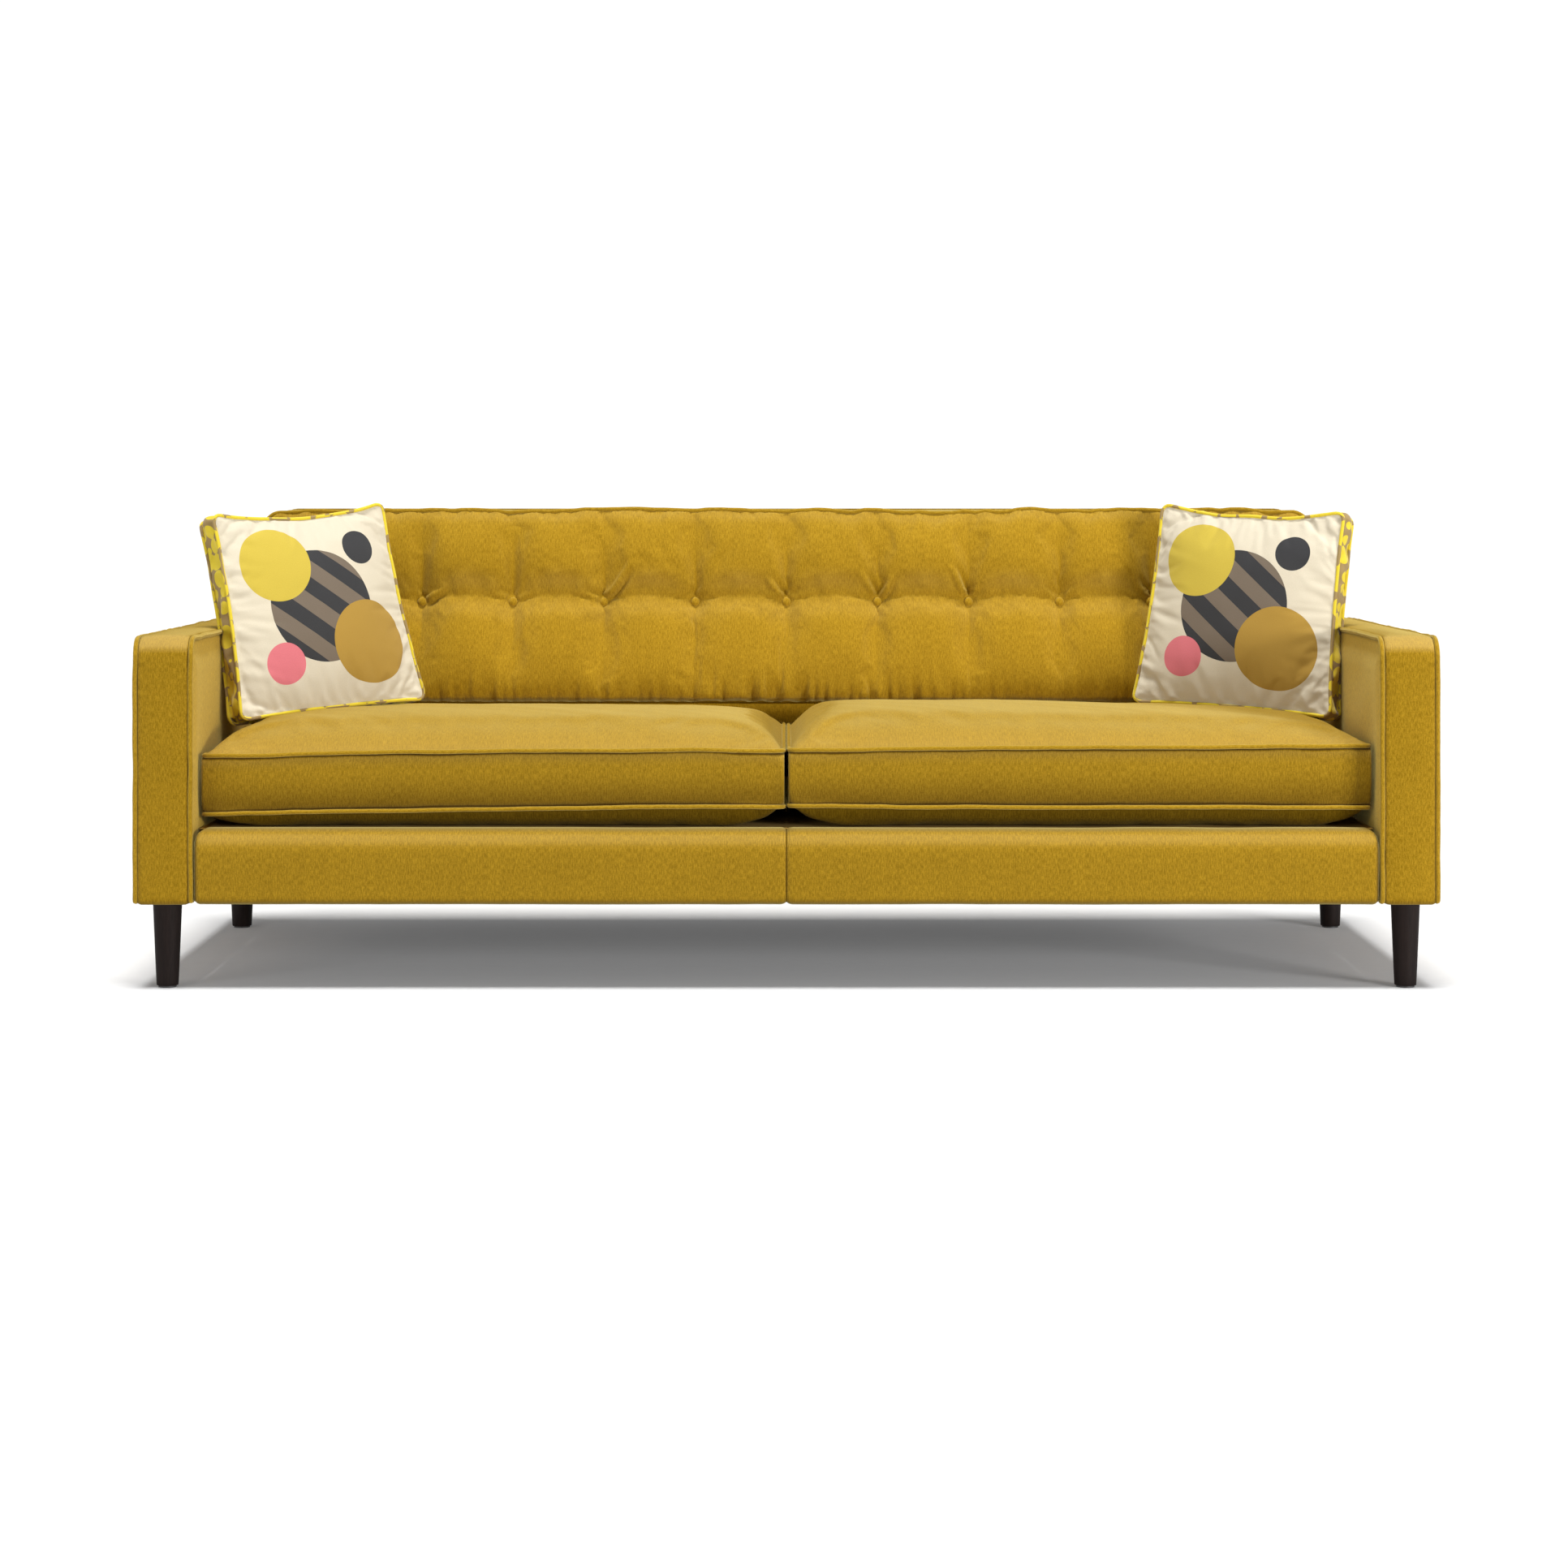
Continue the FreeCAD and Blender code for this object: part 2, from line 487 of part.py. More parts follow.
for side_name, side in SIDES:
    # the band runs up the front, over the top and down the rear, between the two lines of piping
    inner_face = f"({BAND_FACE} - band_thick)"
    inner_top = f"({BAND_TOP} - band_thick)"
    strip = [(f"-{BAND_FACE}", "base_height"), (f"-{BAND_FACE}", BAND_TOP), (BAND_FACE, BAND_TOP),
             (BAND_FACE, "base_height"), (inner_face, "base_height"), (inner_face, inner_top),
             (f"-{inner_face}", inner_top), (f"-{inner_face}", "base_height")]
    band = slab(f"band_{side_name}", "YZ_Plane", strip, f"{ARM_OUT} - {ARM_IN} - 2 * cord_radius - 2 * fit")
    turned_down(band, "arm_round", number(BAND_TOP))
    turned_down(band, "arm_round - band_thick", number(inner_top))
    bind(band, "Placement.Base.x", f"{side} * {ARM_MIDDLE}")
    keep(band, f"arm_band_{side_name}")

    # the foam block, hollow for the timber frame
    block = arm_layer(f"arm_block_{side_name}", PAD_FACE, PAD_TOP, "base_floor",
                      f"({ARM_IN} + fit)", f"({ARM_OUT} - fit)", "arm_round - band_thick")
    bind(block, "Placement.Base.x", f"{side} * {ARM_MIDDLE}")
    hollow_in = f"({ARM_IN} + arm_wall)"
    hollow_wide = f"({ARM_OUT} - {ARM_IN} - 2 * arm_wall)"
    hollow = side_board(f"arm_hollow_{side_name}", side, hollow_in,
                        (f"-({PAD_FACE} - arm_wall)", "base_height - 1"),
                        (hollow_wide, f"2 * ({PAD_FACE} - arm_wall)", f"{PAD_TOP} - arm_wall - base_height + 1"))
    foam = doc.addObject("Part::Cut", f"arm_foam_{side_name}")
    foam.Base = block
    foam.Tool = hollow
    keep(foam, f"arm_pad_{side_name}")

    # timber frame of the arm, between two plywood boards
    frame_in = f"({hollow_in} + fit + plywood)"
    frame_wide = f"({hollow_wide} - 2 * fit - 2 * plywood)"
    frame_reach = f"({PAD_FACE} - arm_wall - fit)"
    frame_head = f"({PAD_TOP} - arm_wall - fit)"
    rails = []
    for tag, low in (("bottom", "base_floor"), ("top", f"{frame_head} - arm_timber")):
        rails.append(side_board(f"arm_rail_{tag}_{side_name}", side, frame_in,
                                (f"-{frame_reach}", low), (frame_wide, f"2 * {frame_reach}", "arm_timber")))
    for tag, deep in (("front", f"-{frame_reach}"), ("middle", "-arm_timber / 2"),
                      ("rear", f"{frame_reach} - arm_timber")):
        rails.append(side_board(f"arm_post_{tag}_{side_name}", side, frame_in,
                                (deep, "base_floor + arm_timber"),
                                (frame_wide, "arm_timber", f"{frame_head} - base_floor - 2 * arm_timber")))
    keep(group(f"arm_frame_set_{side_name}", rails), f"arm_frame_{side_name}")
    boards = []
    for tag, low in (("inner", f"{hollow_in} + fit"), ("outer", f"{frame_in} + {frame_wide}")):
        boards.append(side_board(f"arm_ply_{tag}_{side_name}", side, low,
                                 (f"-{frame_reach}", "base_floor"),
                                 ("plywood", f"2 * {frame_reach}", f"{frame_head} - base_floor")))
    keep(group(f"arm_ply_{side_name}", boards), f"arm_boards_{side_name}")

    # flat covers of the two sides, and the piping beside them
    sheet_face = f"({ARM_CORD_FRONT} - cord_radius - fit)"
    sheet_top = f"({ARM_CORD_TOP} - cord_radius - fit)"
    for tag, low in (("inner", f"({ARM_IN} - cloth)"), ("outer", ARM_OUT)):
        cover = arm_layer(f"arm_sheet_{tag}_{side_name}", sheet_face, sheet_top, "base_height",
                          low, f"({low} + cloth)", "arm_round - band_thick")
        bind(cover, "Placement.Base.x", f"{side} * ({low} + cloth / 2)")
        keep(cover, f"arm_cover_{tag}_{side_name}")
    cords = []
    for tag, middle in (("inner", ARM_IN), ("outer", ARM_OUT)):
        cord = doc.addObject("PartDesign::Body", f"arm_cord_{tag}_{side_name}")
        path = hoop(cord, f"{cord.Name}_path", ARM_CORD_FRONT, "base_height", ARM_CORD_TOP,
                    "arm_round - 2")
        ring = circle(cord, f"{cord.Name}_ring", "XY_Plane", ("0", f"-{ARM_CORD_FRONT}"),
                      "cord_radius", "base_height")
        pipe = cord.newObject("PartDesign::AdditivePipe", f"{cord.Name}_pipe")
        pipe.Profile = ring
        pipe.Spine = (path, [f"Edge{index}" for index in range(1, 6)])
        bind(cord, "Placement.Base.x", f"{side} * {middle}")
        cords.append(cord)
    keep(group(f"arm_cords_{side_name}", cords), f"arm_piping_{side_name}")


# ---- back ----------------------------------------------------------------------------------

BACK_HALF = "(arm_inner - 1)"
POST_OUT = "1020"
POST_WIDE = "36"
FRAME_DEEP = "(frame_rear - frame_front)"
TOP_RAIL_LOW = "(back_high - 48)"
frame_parts = [board("back_top_rail", (f"-{POST_OUT}", "frame_front", TOP_RAIL_LOW),
                     (f"2 * {POST_OUT}", FRAME_DEEP, "40")),
               board("back_ledge", (f"-{POST_OUT}", "seat_rear + 3 + fit", "back_low - 12"),
                     (f"2 * {POST_OUT}", "frame_front - seat_rear - 3 - fit", "17"))]
INNER_POST = f"2.5 * button_pitch - {POST_WIDE} / 2"
for low in (f"-{POST_OUT}", f"-({INNER_POST}) - {POST_WIDE}", INNER_POST, f"{POST_OUT} - {POST_WIDE}"):
    frame_parts.append(board(f"back_post_{len(frame_parts)}", (low, "frame_front", "rail_top"),
                             (POST_WIDE, FRAME_DEEP, f"{TOP_RAIL_LOW} - rail_top")))
keep(group("back_frame_set", frame_parts), "back_frame")

straps = [board(f"back_strap_{index}", (f"({index} + 0.5) * button_pitch - 25", "back_rear + fit", "back_low + 6"),
                ("50", "frame_front - back_rear - 2 * fit", "back_high - back_low - 16"))
          for index in range(-5, 5)]
keep(group("strap_set", straps), "back_webbing")

# the pad as seen from the end: a raked face that swells above and below the row of buttons
BACK_SLOPE = "(back_high_face - back_low_face) / (back_high - back_low)"
BUTTON_FLOOR = "(back_low_face + (button_height - back_low) * " + BACK_SLOPE + " + 6)"
SWELLS_BELOW = ((0.02, 0), (0.12, 0.65), (0.28, 1.0), (0.42, 0.6))
SWELLS_ABOVE = ((0.63, 0.6), (0.77, 0.9), (0.92, 0.55), (0.98, 0))


def pad_point(share, swell):
    height = f"(back_low + {share} * (back_high - back_low))"
    return (f"back_low_face + {share} * (back_high_face - back_low_face) - {swell} * back_bulge", height)


pad_outline = [pad_point(share, swell) for share, swell in SWELLS_BELOW]
pad_outline += [(BUTTON_FLOOR, "button_height - button_radius - 3"),
                (BUTTON_FLOOR, "button_height + button_radius + 3")]
pad_outline += [pad_point(share, swell) for share, swell in SWELLS_ABOVE]
pad_outline += [("back_rear", pad_outline[-1][1]), ("back_rear", pad_outline[0][1])]
back_pad = slab("back_cushion", "YZ_Plane", pad_outline, f"2 * ({BACK_HALF} - 2 * cord_radius - fit)")
pad_head = number(pad_outline[-1][1].replace("0.02", "0.98"))
round_edges(back_pad, "back_round - 10",
            lambda one, two: abs(one.x - two.x) < 0.01 and abs(one.y - two.y) > 50
            and min(one.z, two.z) > pad_head - 1)
keep(back_pad, "back_pad")

rake = math.degrees(math.atan(number(BACK_SLOPE)))
face_length = math.hypot(number("back_high - back_low"), number("back_high_face - back_low_face"))
back_cord = cord_loop("back_cord", "XZ_Plane", f"{BACK_HALF} - cord_radius", f"{face_length} / 2")
back_cord.Placement.Rotation = FreeCAD.Rotation(Vector(1, 0, 0), -rake)
put(back_cord, ("0", "(back_low_face + back_high_face) / 2", "(back_low + back_high) / 2"))
keep(back_cord, "back_piping")

BUTTONS_EACH_WAY = 5
buttons, twines, washers = [], [], []
for index in range(-BUTTONS_EACH_WAY, BUTTONS_EACH_WAY + 1):
    tag = f"{index + BUTTONS_EACH_WAY}"
    button = doc.addObject("PartDesign::Body", f"button_{tag}")
    dome = [("0", "0"), ("button_radius", "0"), ("button_radius", "0.35 * button_thick"),
            ("0.8 * button_radius", "0.75 * button_thick"), ("0.4 * button_radius", "button_thick"),
            ("0", "button_thick")]
    profile = outline(button, f"button_{tag}_profile", "XZ_Plane", dome)
    turning = button.newObject("PartDesign::Revolution", f"button_{tag}_turning")
    turning.Profile = profile
    turning.ReferenceAxis = (profile, ["V_Axis"])
    turning.Angle = 360
    button.Placement.Rotation = FreeCAD.Rotation(Vector(1, 0, 0), 90)
    put(button, (f"{index} * button_pitch", f"{BUTTON_FLOOR} - 0.2", "button_height"))
    buttons.append(button)
    # the twine runs beside the webbing, through the pad, from the button to a washer behind it
    twines.append(rod(f"twine_{tag}", "1", f"frame_front - {BUTTON_FLOOR} - 2 * fit",
                      (f"{index} * button_pitch", BUTTON_FLOOR, "button_height"), Vector(0, 1, 0)))
    washers.append(rod(f"washer_{tag}", "9", "2", (f"{index} * button_pitch", "frame_front - fit",
                                                  "button_height"), Vector(0, 1, 0)))
keep(group("button_set", buttons), "back_buttons")
keep(group("twine_set", twines), "tufting_twine")
keep(group("washer_set", washers), "tufting_washers")

# the boxing strip over the back's top and ends, with round top corners
BOX_TOP = "(back_high + cord_radius)"
BOX_FOOT = "(arm_top + 2)"
boxing = [(f"-{BACK_HALF}", BOX_FOOT), (f"-{BACK_HALF}", BOX_TOP), (BACK_HALF, BOX_TOP),
          (BACK_HALF, BOX_FOOT), (f"{BACK_HALF} - cloth", BOX_FOOT), (f"{BACK_HALF} - cloth", f"{BOX_TOP} - cloth"),
          (f"-({BACK_HALF} - cloth)", f"{BOX_TOP} - cloth"), (f"-({BACK_HALF} - cloth)", BOX_FOOT)]
BOX_FRONT = "(back_high_face + 12)"
back_boxing = slab("back_strip", "XZ_Plane", boxing, f"frame_rear + 2 - {BOX_FRONT}")


def along_y(height):
    return lambda one, two: (abs(one.x - two.x) < 0.01 and abs(one.y - two.y) > 1
                             and abs(one.z - height) < 0.01 and abs(two.z - height) < 0.01)


round_edges(back_boxing, "back_round", along_y(number(BOX_TOP)))
round_edges(back_boxing, "back_round - cloth", along_y(number(BOX_TOP) - number("cloth")))
bind(back_boxing, "Placement.Base.y", f"(frame_rear + 2 + {BOX_FRONT}) / 2")
keep(back_boxing, "back_boxing")

outer = [(f"-({BACK_HALF} - 1)", "base_height"), (f"{BACK_HALF} - 1", "base_height"),
         (f"{BACK_HALF} - 1", f"{BOX_TOP} - 1"), (f"-({BACK_HALF} - 1)", f"{BOX_TOP} - 1")]
outer_panel = slab("rear_sheet", "XZ_Plane", outer, "cloth")
round_edges(outer_panel, "back_round", along_y(number(BOX_TOP) - 1))
bind(outer_panel, "Placement.Base.y", "frame_rear + 2 + fit + cloth / 2")
keep(outer_panel, "back_outer_panel")
keep(board("back_lower_panel", (f"-{BACK_HALF}", "seat_rear", "deck_top + fit"),
           (f"2 * {BACK_HALF}", "3", "back_low - cord_radius - deck_top - 2 * fit")), "back_lower_panel")


# ---- loose seat cushions -------------------------------------------------------------------

HALF_LONG = "((cushion_outer - cushion_inner) / 2)"
HALF_DEEP = "((cushion_front + cushion_rear) / 2)"
MID_LONG = "((cushion_outer + cushion_inner) / 2)"
MID_DEEP = "((cushion_rear - cushion_front) / 2)"
BOXING = "(cushion_high - cushion_low - 2 * cord_radius - 2 * fit)"
MID_HEIGHT = "((cushion_high + cushion_low) / 2)"
CROWNS = (f"(cushion_crest - {MID_HEIGHT} - {BOXING} / 2)", f"({MID_HEIGHT} - {BOXING} / 2 - cushion_belly)")
ZIP_WIDE = "(zip_height / 4)"

for side_name, side in SIDES:
    middle = (f"{side} * {MID_LONG}", MID_DEEP, MID_HEIGHT)
    layers = []
    for tag, inset in (("skin", "0"), ("room", "cloth"), ("core", "cloth + fit")):
        layer = crowned(f"seat_{tag}_{side_name}", "XY_Plane", HALF_LONG, HALF_DEEP, BOXING, CROWNS, inset)
        put(layer, middle)
        layers.append(layer)
    cover = doc.addObject("Part::Cut", f"seat_case_{side_name}")
    cover.Base, cover.Tool = layers[:2]
    keep(cover, f"seat_cover_{side_name}")
    keep(layers[2], f"seat_foam_{side_name}")

    cords = []
    for tag, sign in (("upper", 1), ("lower", -1)):
        cord = cord_loop(f"seat_cord_{tag}_{side_name}", "XY_Plane", f"{HALF_LONG} - cord_radius",
                         f"{HALF_DEEP} - cord_radius", f"{sign} * (cushion_high - cushion_low) / 2")
        put(cord, middle)
        cords.append(cord)
    keep(group(f"seat_cords_{side_name}", cords), f"seat_piping_{side_name}")

    # a zip in the rear boxing: two tapes with a chain of teeth between them, and the slider
    low = f"{side} * {MID_LONG} - zip_length / 2"
    tapes = [board(f"tape_{tag}_{side_name}", (low, "cushion_rear", height), ("zip_length", "1", "6"))
             for tag, height in (("low", f"{MID_HEIGHT} - zip_height / 2"),
                                 ("high", f"{MID_HEIGHT} + zip_height / 2 - 6"))]
    teeth = board(f"teeth_{side_name}", (low, "cushion_rear", f"{MID_HEIGHT} - 2.5"), ("zip_length", "2", "5"))
    keep(group(f"zip_{side_name}", tapes + [teeth]), f"seat_zip_{side_name}")
    start = f"{side} * {MID_LONG} - zip_length / 2 + 4"
    slider = doc.addObject("Part::Fuse", f"slider_{side_name}")
    slider.Base = board(f"slider_body_{side_name}", (start, "cushion_rear + 2.3", f"{MID_HEIGHT} - 5"),
                        ("12", "2", "10"))
    slider.Tool = board(f"slider_pull_{side_name}", (f"{start} + 2", "cushion_rear + 4.3", f"{MID_HEIGHT} - 24"),
                        ("8", "1.2", "26"))
    keep(slider, f"zip_slider_{side_name}")


# ---- scatter cushions ----------------------------------------------------------------------

# side, turn about the upright, lean back, roll in its own plane, middle of its front face
SCATTER_POSES = (
    ("left", 39.2, 14.7, 3.3, (-881, -55, 662)),
    ("right", -27.6, 10.8, -2.4, (864, 25, 660)),
)


def scatter_turn(yaw, lean, roll):
    upright = FreeCAD.Rotation(Vector(0, 0, 1), yaw)
    backwards = FreeCAD.Rotation(Vector(1, 0, 0), -lean)
    level = FreeCAD.Rotation(Vector(0, 1, 0), -roll)
    return upright.multiply(backwards).multiply(level)


for side_name, yaw, lean, roll, face_middle in SCATTER_POSES:
    turn = scatter_turn(yaw, lean, roll)
    inward = turn.multVec(Vector(0, 1, 0)) * number("scatter_gusset / 2")
    place = FreeCAD.Placement(Vector(*face_middle) + inward, turn)
    half = "(scatter_side / 2)"
    gusset = "(scatter_gusset - 2 * cord_radius - 2 * fit)"
    layers = []
    for tag, inset in (("skin", "0"), ("room", "cloth"), ("core", "cloth + fit")):
        layer = crowned(f"scatter_{tag}_{side_name}", "XZ_Plane", half, half, gusset,
                        ("scatter_crown", "scatter_crown"), inset)
        layer.Placement = place
        layers.append(layer)
    cover = doc.addObject("Part::Cut", f"scatter_case_{side_name}")
    cover.Base, cover.Tool = layers[:2]
    keep(cover, f"scatter_cover_{side_name}")
    keep(layers[2], f"scatter_filling_{side_name}")
    cords = []
    for tag, sign in (("front", 1), ("rear", -1)):
        cord = cord_loop(f"scatter_cord_{tag}_{side_name}", "XZ_Plane", f"{half} - cord_radius",
                         f"{half} - cord_radius", f"{sign} * scatter_gusset / 2")
        cord.Placement = place
        cords.append(cord)
    keep(group(f"scatter_cords_{side_name}", cords), f"scatter_piping_{side_name}")


# ---- check and write -----------------------------------------------------------------------

doc.recompute()
for thing in doc.Objects:
    if "Invalid" in thing.State or "Error" in thing.State:
        raise RuntimeError(f"{thing.Label} did not compute: {thing.State}")
os.makedirs("parts", exist_ok=True)
for node in nodes:
    if node.Shape.isNull() or not node.Shape.isValid():
        raise RuntimeError(f"{node.Label} has no valid shape")
    node.Shape.exportStep(f"parts/{node.Label}.step")
whole = Part.makeCompound([node.Shape for node in nodes]).BoundBox
print(f"{len(nodes)} sub-parts, {whole.XLength:.1f} x {whole.YLength:.1f} x {whole.ZLength:.1f} mm")
print(f"x {whole.XMin:.1f} {whole.XMax:.1f} y {whole.YMin:.1f} {whole.YMax:.1f} z {whole.ZMin:.1f} {whole.ZMax:.1f}")
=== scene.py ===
import json
import math

import bpy
import numpy as np
from mathutils import Matrix, Vector


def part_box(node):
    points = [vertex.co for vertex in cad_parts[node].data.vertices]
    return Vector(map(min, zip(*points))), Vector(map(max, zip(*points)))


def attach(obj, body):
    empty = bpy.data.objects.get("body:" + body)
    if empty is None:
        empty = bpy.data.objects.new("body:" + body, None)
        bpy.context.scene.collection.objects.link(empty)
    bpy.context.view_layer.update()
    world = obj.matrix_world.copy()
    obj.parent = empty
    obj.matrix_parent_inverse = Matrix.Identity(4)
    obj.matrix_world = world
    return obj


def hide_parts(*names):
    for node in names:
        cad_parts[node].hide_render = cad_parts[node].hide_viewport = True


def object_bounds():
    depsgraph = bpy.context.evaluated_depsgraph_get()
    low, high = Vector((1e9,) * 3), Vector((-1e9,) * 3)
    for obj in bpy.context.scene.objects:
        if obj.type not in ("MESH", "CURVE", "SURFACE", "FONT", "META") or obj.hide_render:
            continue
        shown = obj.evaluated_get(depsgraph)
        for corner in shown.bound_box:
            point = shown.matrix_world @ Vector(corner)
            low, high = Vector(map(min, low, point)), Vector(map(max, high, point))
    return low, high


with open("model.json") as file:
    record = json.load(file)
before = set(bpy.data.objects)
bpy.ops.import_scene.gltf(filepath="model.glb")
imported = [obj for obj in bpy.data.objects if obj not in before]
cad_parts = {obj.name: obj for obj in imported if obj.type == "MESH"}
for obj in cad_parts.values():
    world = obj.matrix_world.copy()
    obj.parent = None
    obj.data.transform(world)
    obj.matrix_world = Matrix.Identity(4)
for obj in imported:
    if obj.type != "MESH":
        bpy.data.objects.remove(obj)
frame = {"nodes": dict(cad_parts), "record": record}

cad_low, cad_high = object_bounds()
scene = bpy.context.scene
SIDES = (("left", -1), ("right", 1))


# ---- small tools ---------------------------------------------------------------------------

def value_noise(u, v, seed):
    """Smooth noise between -1 and 1 over the plane, one cell per unit."""
    table = np.random.default_rng(seed).random((64, 64)) * 2 - 1
    u, v = np.broadcast_arrays(np.asarray(u, float), np.asarray(v, float))
    iu, iv = np.floor(u).astype(int), np.floor(v).astype(int)
    fu, fv = u - iu, v - iv
    fu, fv = fu * fu * (3 - 2 * fu), fv * fv * (3 - 2 * fv)
    low = table[iu % 64, iv % 64] * (1 - fu) + table[(iu + 1) % 64, iv % 64] * fu
    high = table[iu % 64, (iv + 1) % 64] * (1 - fu) + table[(iu + 1) % 64, (iv + 1) % 64] * fu
    return low * (1 - fv) + high * fv


def ease(t):
    t = np.clip(t, 0, 1)
    return t * t * (3 - 2 * t)


def decay(distance, length, power=1):
    """1 at no distance, dying away over a length."""
    return np.exp(-(distance / length) ** power)


def even(count, edge_pull=0.25):
    """Even steps from -1 to 1, a little closer together at the ends."""
    t = np.linspace(-1, 1, count)
    return t * (1 - edge_pull) + np.sin(t * math.pi / 2) * edge_pull


def shares(count, edge_pull):
    """The same from 0 to 1."""
    return (even(count, edge_pull) + 1) / 2


def unit(vectors):
    """The same directions at length 1."""
    return vectors / np.linalg.norm(vectors, axis=-1, keepdims=True)


def steep(value, power):
    """A power that keeps the sign of what it is taken of."""
    return np.sign(value) * np.abs(value) ** power


def grid_of(*parts):
    """A grid of places or UVs from coordinates that broadcast against each other."""
    return np.stack(np.broadcast_arrays(*parts), -1)


def run_along(path):
    """How far along a path each of its points is."""
    return np.concatenate([[0], np.cumsum(np.linalg.norm(np.diff(path, axis=0), axis=1))])


def arc(centre, radius, start, end, count):
    """Points of an arc in a plane, from start to end degrees."""
    turns = [math.radians(a) for a in np.linspace(start, end, count)]
    return [(centre[0] + radius * math.cos(a), centre[1] + radius * math.sin(a)) for a in turns]


def shoulders(x, reach, top, corner):
    """Height at x of an outline that is flat on top and rounded off at both ends."""
    over = np.clip(np.abs(x) - (reach - corner), 0, corner)
    return top - corner + np.sqrt(corner ** 2 - over ** 2)


def placed(name, data):
    """A new object in the scene."""
    made = bpy.data.objects.new(name, data)
    scene.collection.objects.link(made)
    return made


class Shell:
    """A quad mesh made of patches that share the points where they meet."""

    def __init__(self):
        self.points, self.faces, self.uvs, self.index, self.painted_shade_and_highlight = [], [], [], {}, {}

    def point(self, place):
        place = tuple(float(c) for c in place)
        key = tuple(round(c, 5) for c in place)
        if key not in self.index:
            self.index[key] = len(self.points)
            self.points.append(place)
        return self.index[key]

    def patch(self, places, uv, flip=False, painted_shade_and_highlight=None):
        """Add a grid of places, shaped (rows, columns, 3), and return its point numbers.

        The last argument is painted shade, up to 1, in seams, hems and other places where shade falls; below
        0 it is a painted highlight."""
        rows, columns = places.shape[:2]
        numbers = np.array([[self.point(places[i, j]) for j in range(columns)] for i in range(rows)])
        if painted_shade_and_highlight is not None:
            depths = np.broadcast_to(painted_shade_and_highlight, (rows, columns))
            self.painted_shade_and_highlight.update(zip(numbers.ravel().tolist(), depths.ravel().tolist()))
        for i in range(rows - 1):
            for j in range(columns - 1):
                corners = [(i, j), (i + 1, j), (i + 1, j + 1), (i, j + 1)]
                if flip:
                    corners.reverse()
                face = [int(numbers[c]) for c in corners]
                if len(set(face)) < 3:
                    continue
                kept = [k for k in range(4) if face[k] not in face[:k]]
                self.faces.append([face[k] for k in kept])
                self.uvs.extend(tuple(uv[corners[k]]) for k in kept)
        return numbers

    def build(self, name):
        mesh = bpy.data.meshes.new(name)
        mesh.from_pydata(self.points, [], self.faces)
        layer = mesh.uv_layers.new(name="metres")
        layer.data.foreach_set("uv", np.array(self.uvs, float).ravel())
        mesh.polygons.foreach_set("use_smooth", [True] * len(mesh.polygons))
        # each point's painted shade, with a painted highlight below 0
        depths = mesh.attributes.new("painted_shade_and_highlight", "FLOAT", "POINT")
        depths.data.foreach_set("value", [self.painted_shade_and_highlight.get(n, 0.0) for n in range(len(self.points))])
        mesh.update()
        return placed(name, mesh)


def coordinates(piece):
    co = np.zeros(len(piece.data.vertices) * 3)
    piece.data.vertices.foreach_get("co", co)
    return co.reshape(-1, 3)


def set_coordinates(piece, co):
    piece.data.vertices.foreach_set("co", np.asarray(co, float).ravel())
    piece.data.update()


def paint(piece, material):
    piece.data.materials.clear()
    piece.data.materials.append(material)
    return piece


def one_patch(name, places, uv, material, flip=False, painted_shade_and_highlight=None):
    """A piece made of a single grid, and the numbers of its points."""
    shell = Shell()
    numbers = shell.patch(places, uv, flip, painted_shade_and_highlight)
    return paint(shell.build(name), material), numbers


def paint_between(piece, material, numbers):
    """Give the faces between the numbered points a material of their own."""
    piece.data.materials.append(material)
    chosen = np.zeros(len(piece.data.vertices), bool)
    chosen[np.ravel(numbers)] = True
    for polygon in piece.data.polygons:
        if all(chosen[v] for v in polygon.vertices):
            polygon.material_index = len(piece.data.materials) - 1


def finish_piece(piece, body, nodes, thickness=0.0, levels=0):
    """Give a piece its thickness and smoothness and its body, and hide the CAD parts that it stands for."""
    if thickness:
        solid = piece.modifiers.new("cloth_thickness", "SOLIDIFY")
        solid.thickness = thickness
        solid.offset = -1
    if levels:
        smooth = piece.modifiers.new("smooth", "SUBSURF")
        smooth.levels = smooth.render_levels = levels
    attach(piece, body)
    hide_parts(*nodes)


def tube(name, path, radius, closed, seed=0, sides=10):
    """Piping: a round cord along a path, a little uneven."""
    path = np.asarray(path, float)
    count = len(path)
    if closed:
        ahead, behind = np.roll(path, -1, 0), np.roll(path, 1, 0)
    else:
        ahead, behind = np.vstack([path[1:], path[-1]]), np.vstack([path[0], path[:-1]])
    along = unit(ahead - behind)
    across = [unit(np.cross(along[0], (0.31, 0.52, 0.79)))]
    for k in range(1, count):
        across.append(unit(across[-1] - along[k] * np.dot(across[-1], along[k])))
    across = np.array(across)
    twist = 0.0
    if closed:
        # spread the twist that is left at the join over the whole loop
        end = unit(across[-1] - along[0] * np.dot(across[-1], along[0]))
        twist = math.atan2(np.dot(np.cross(end, across[0]), along[0]), np.dot(end, across[0]))
    other = np.cross(along, across)
    lengths = run_along(path)
    thick = radius * (1 + 0.05 * value_noise(lengths / 0.02, 0.5, seed))[:, None]
    rows = []
    for side in range(sides + 1):
        angle = (2 * math.pi * (side % sides) / sides + twist * np.arange(count) / count)[:, None]
        rows.append(path + thick * (np.cos(angle) * across + np.sin(angle) * other))
    places = np.stack(rows, 1)
    uv = grid_of(np.linspace(0, 2 * math.pi * radius, sides + 1)[None, :], lengths[:, None])
    shell = Shell()
    if closed:
        places = np.concatenate([places, places[:1]])
        uv = np.concatenate([uv, uv[:1] + (0, uv[-1, 0, 1])])
    shell.patch(places, uv)
    if not closed:
        for end, flip in ((0, True), (-1, False)):
            cap = np.stack([places[end], np.repeat(path[end][None], sides + 1, 0)])
            shell.patch(cap, np.stack([uv[end], uv[end] * 0.5]), flip)
    return shell.build(name)


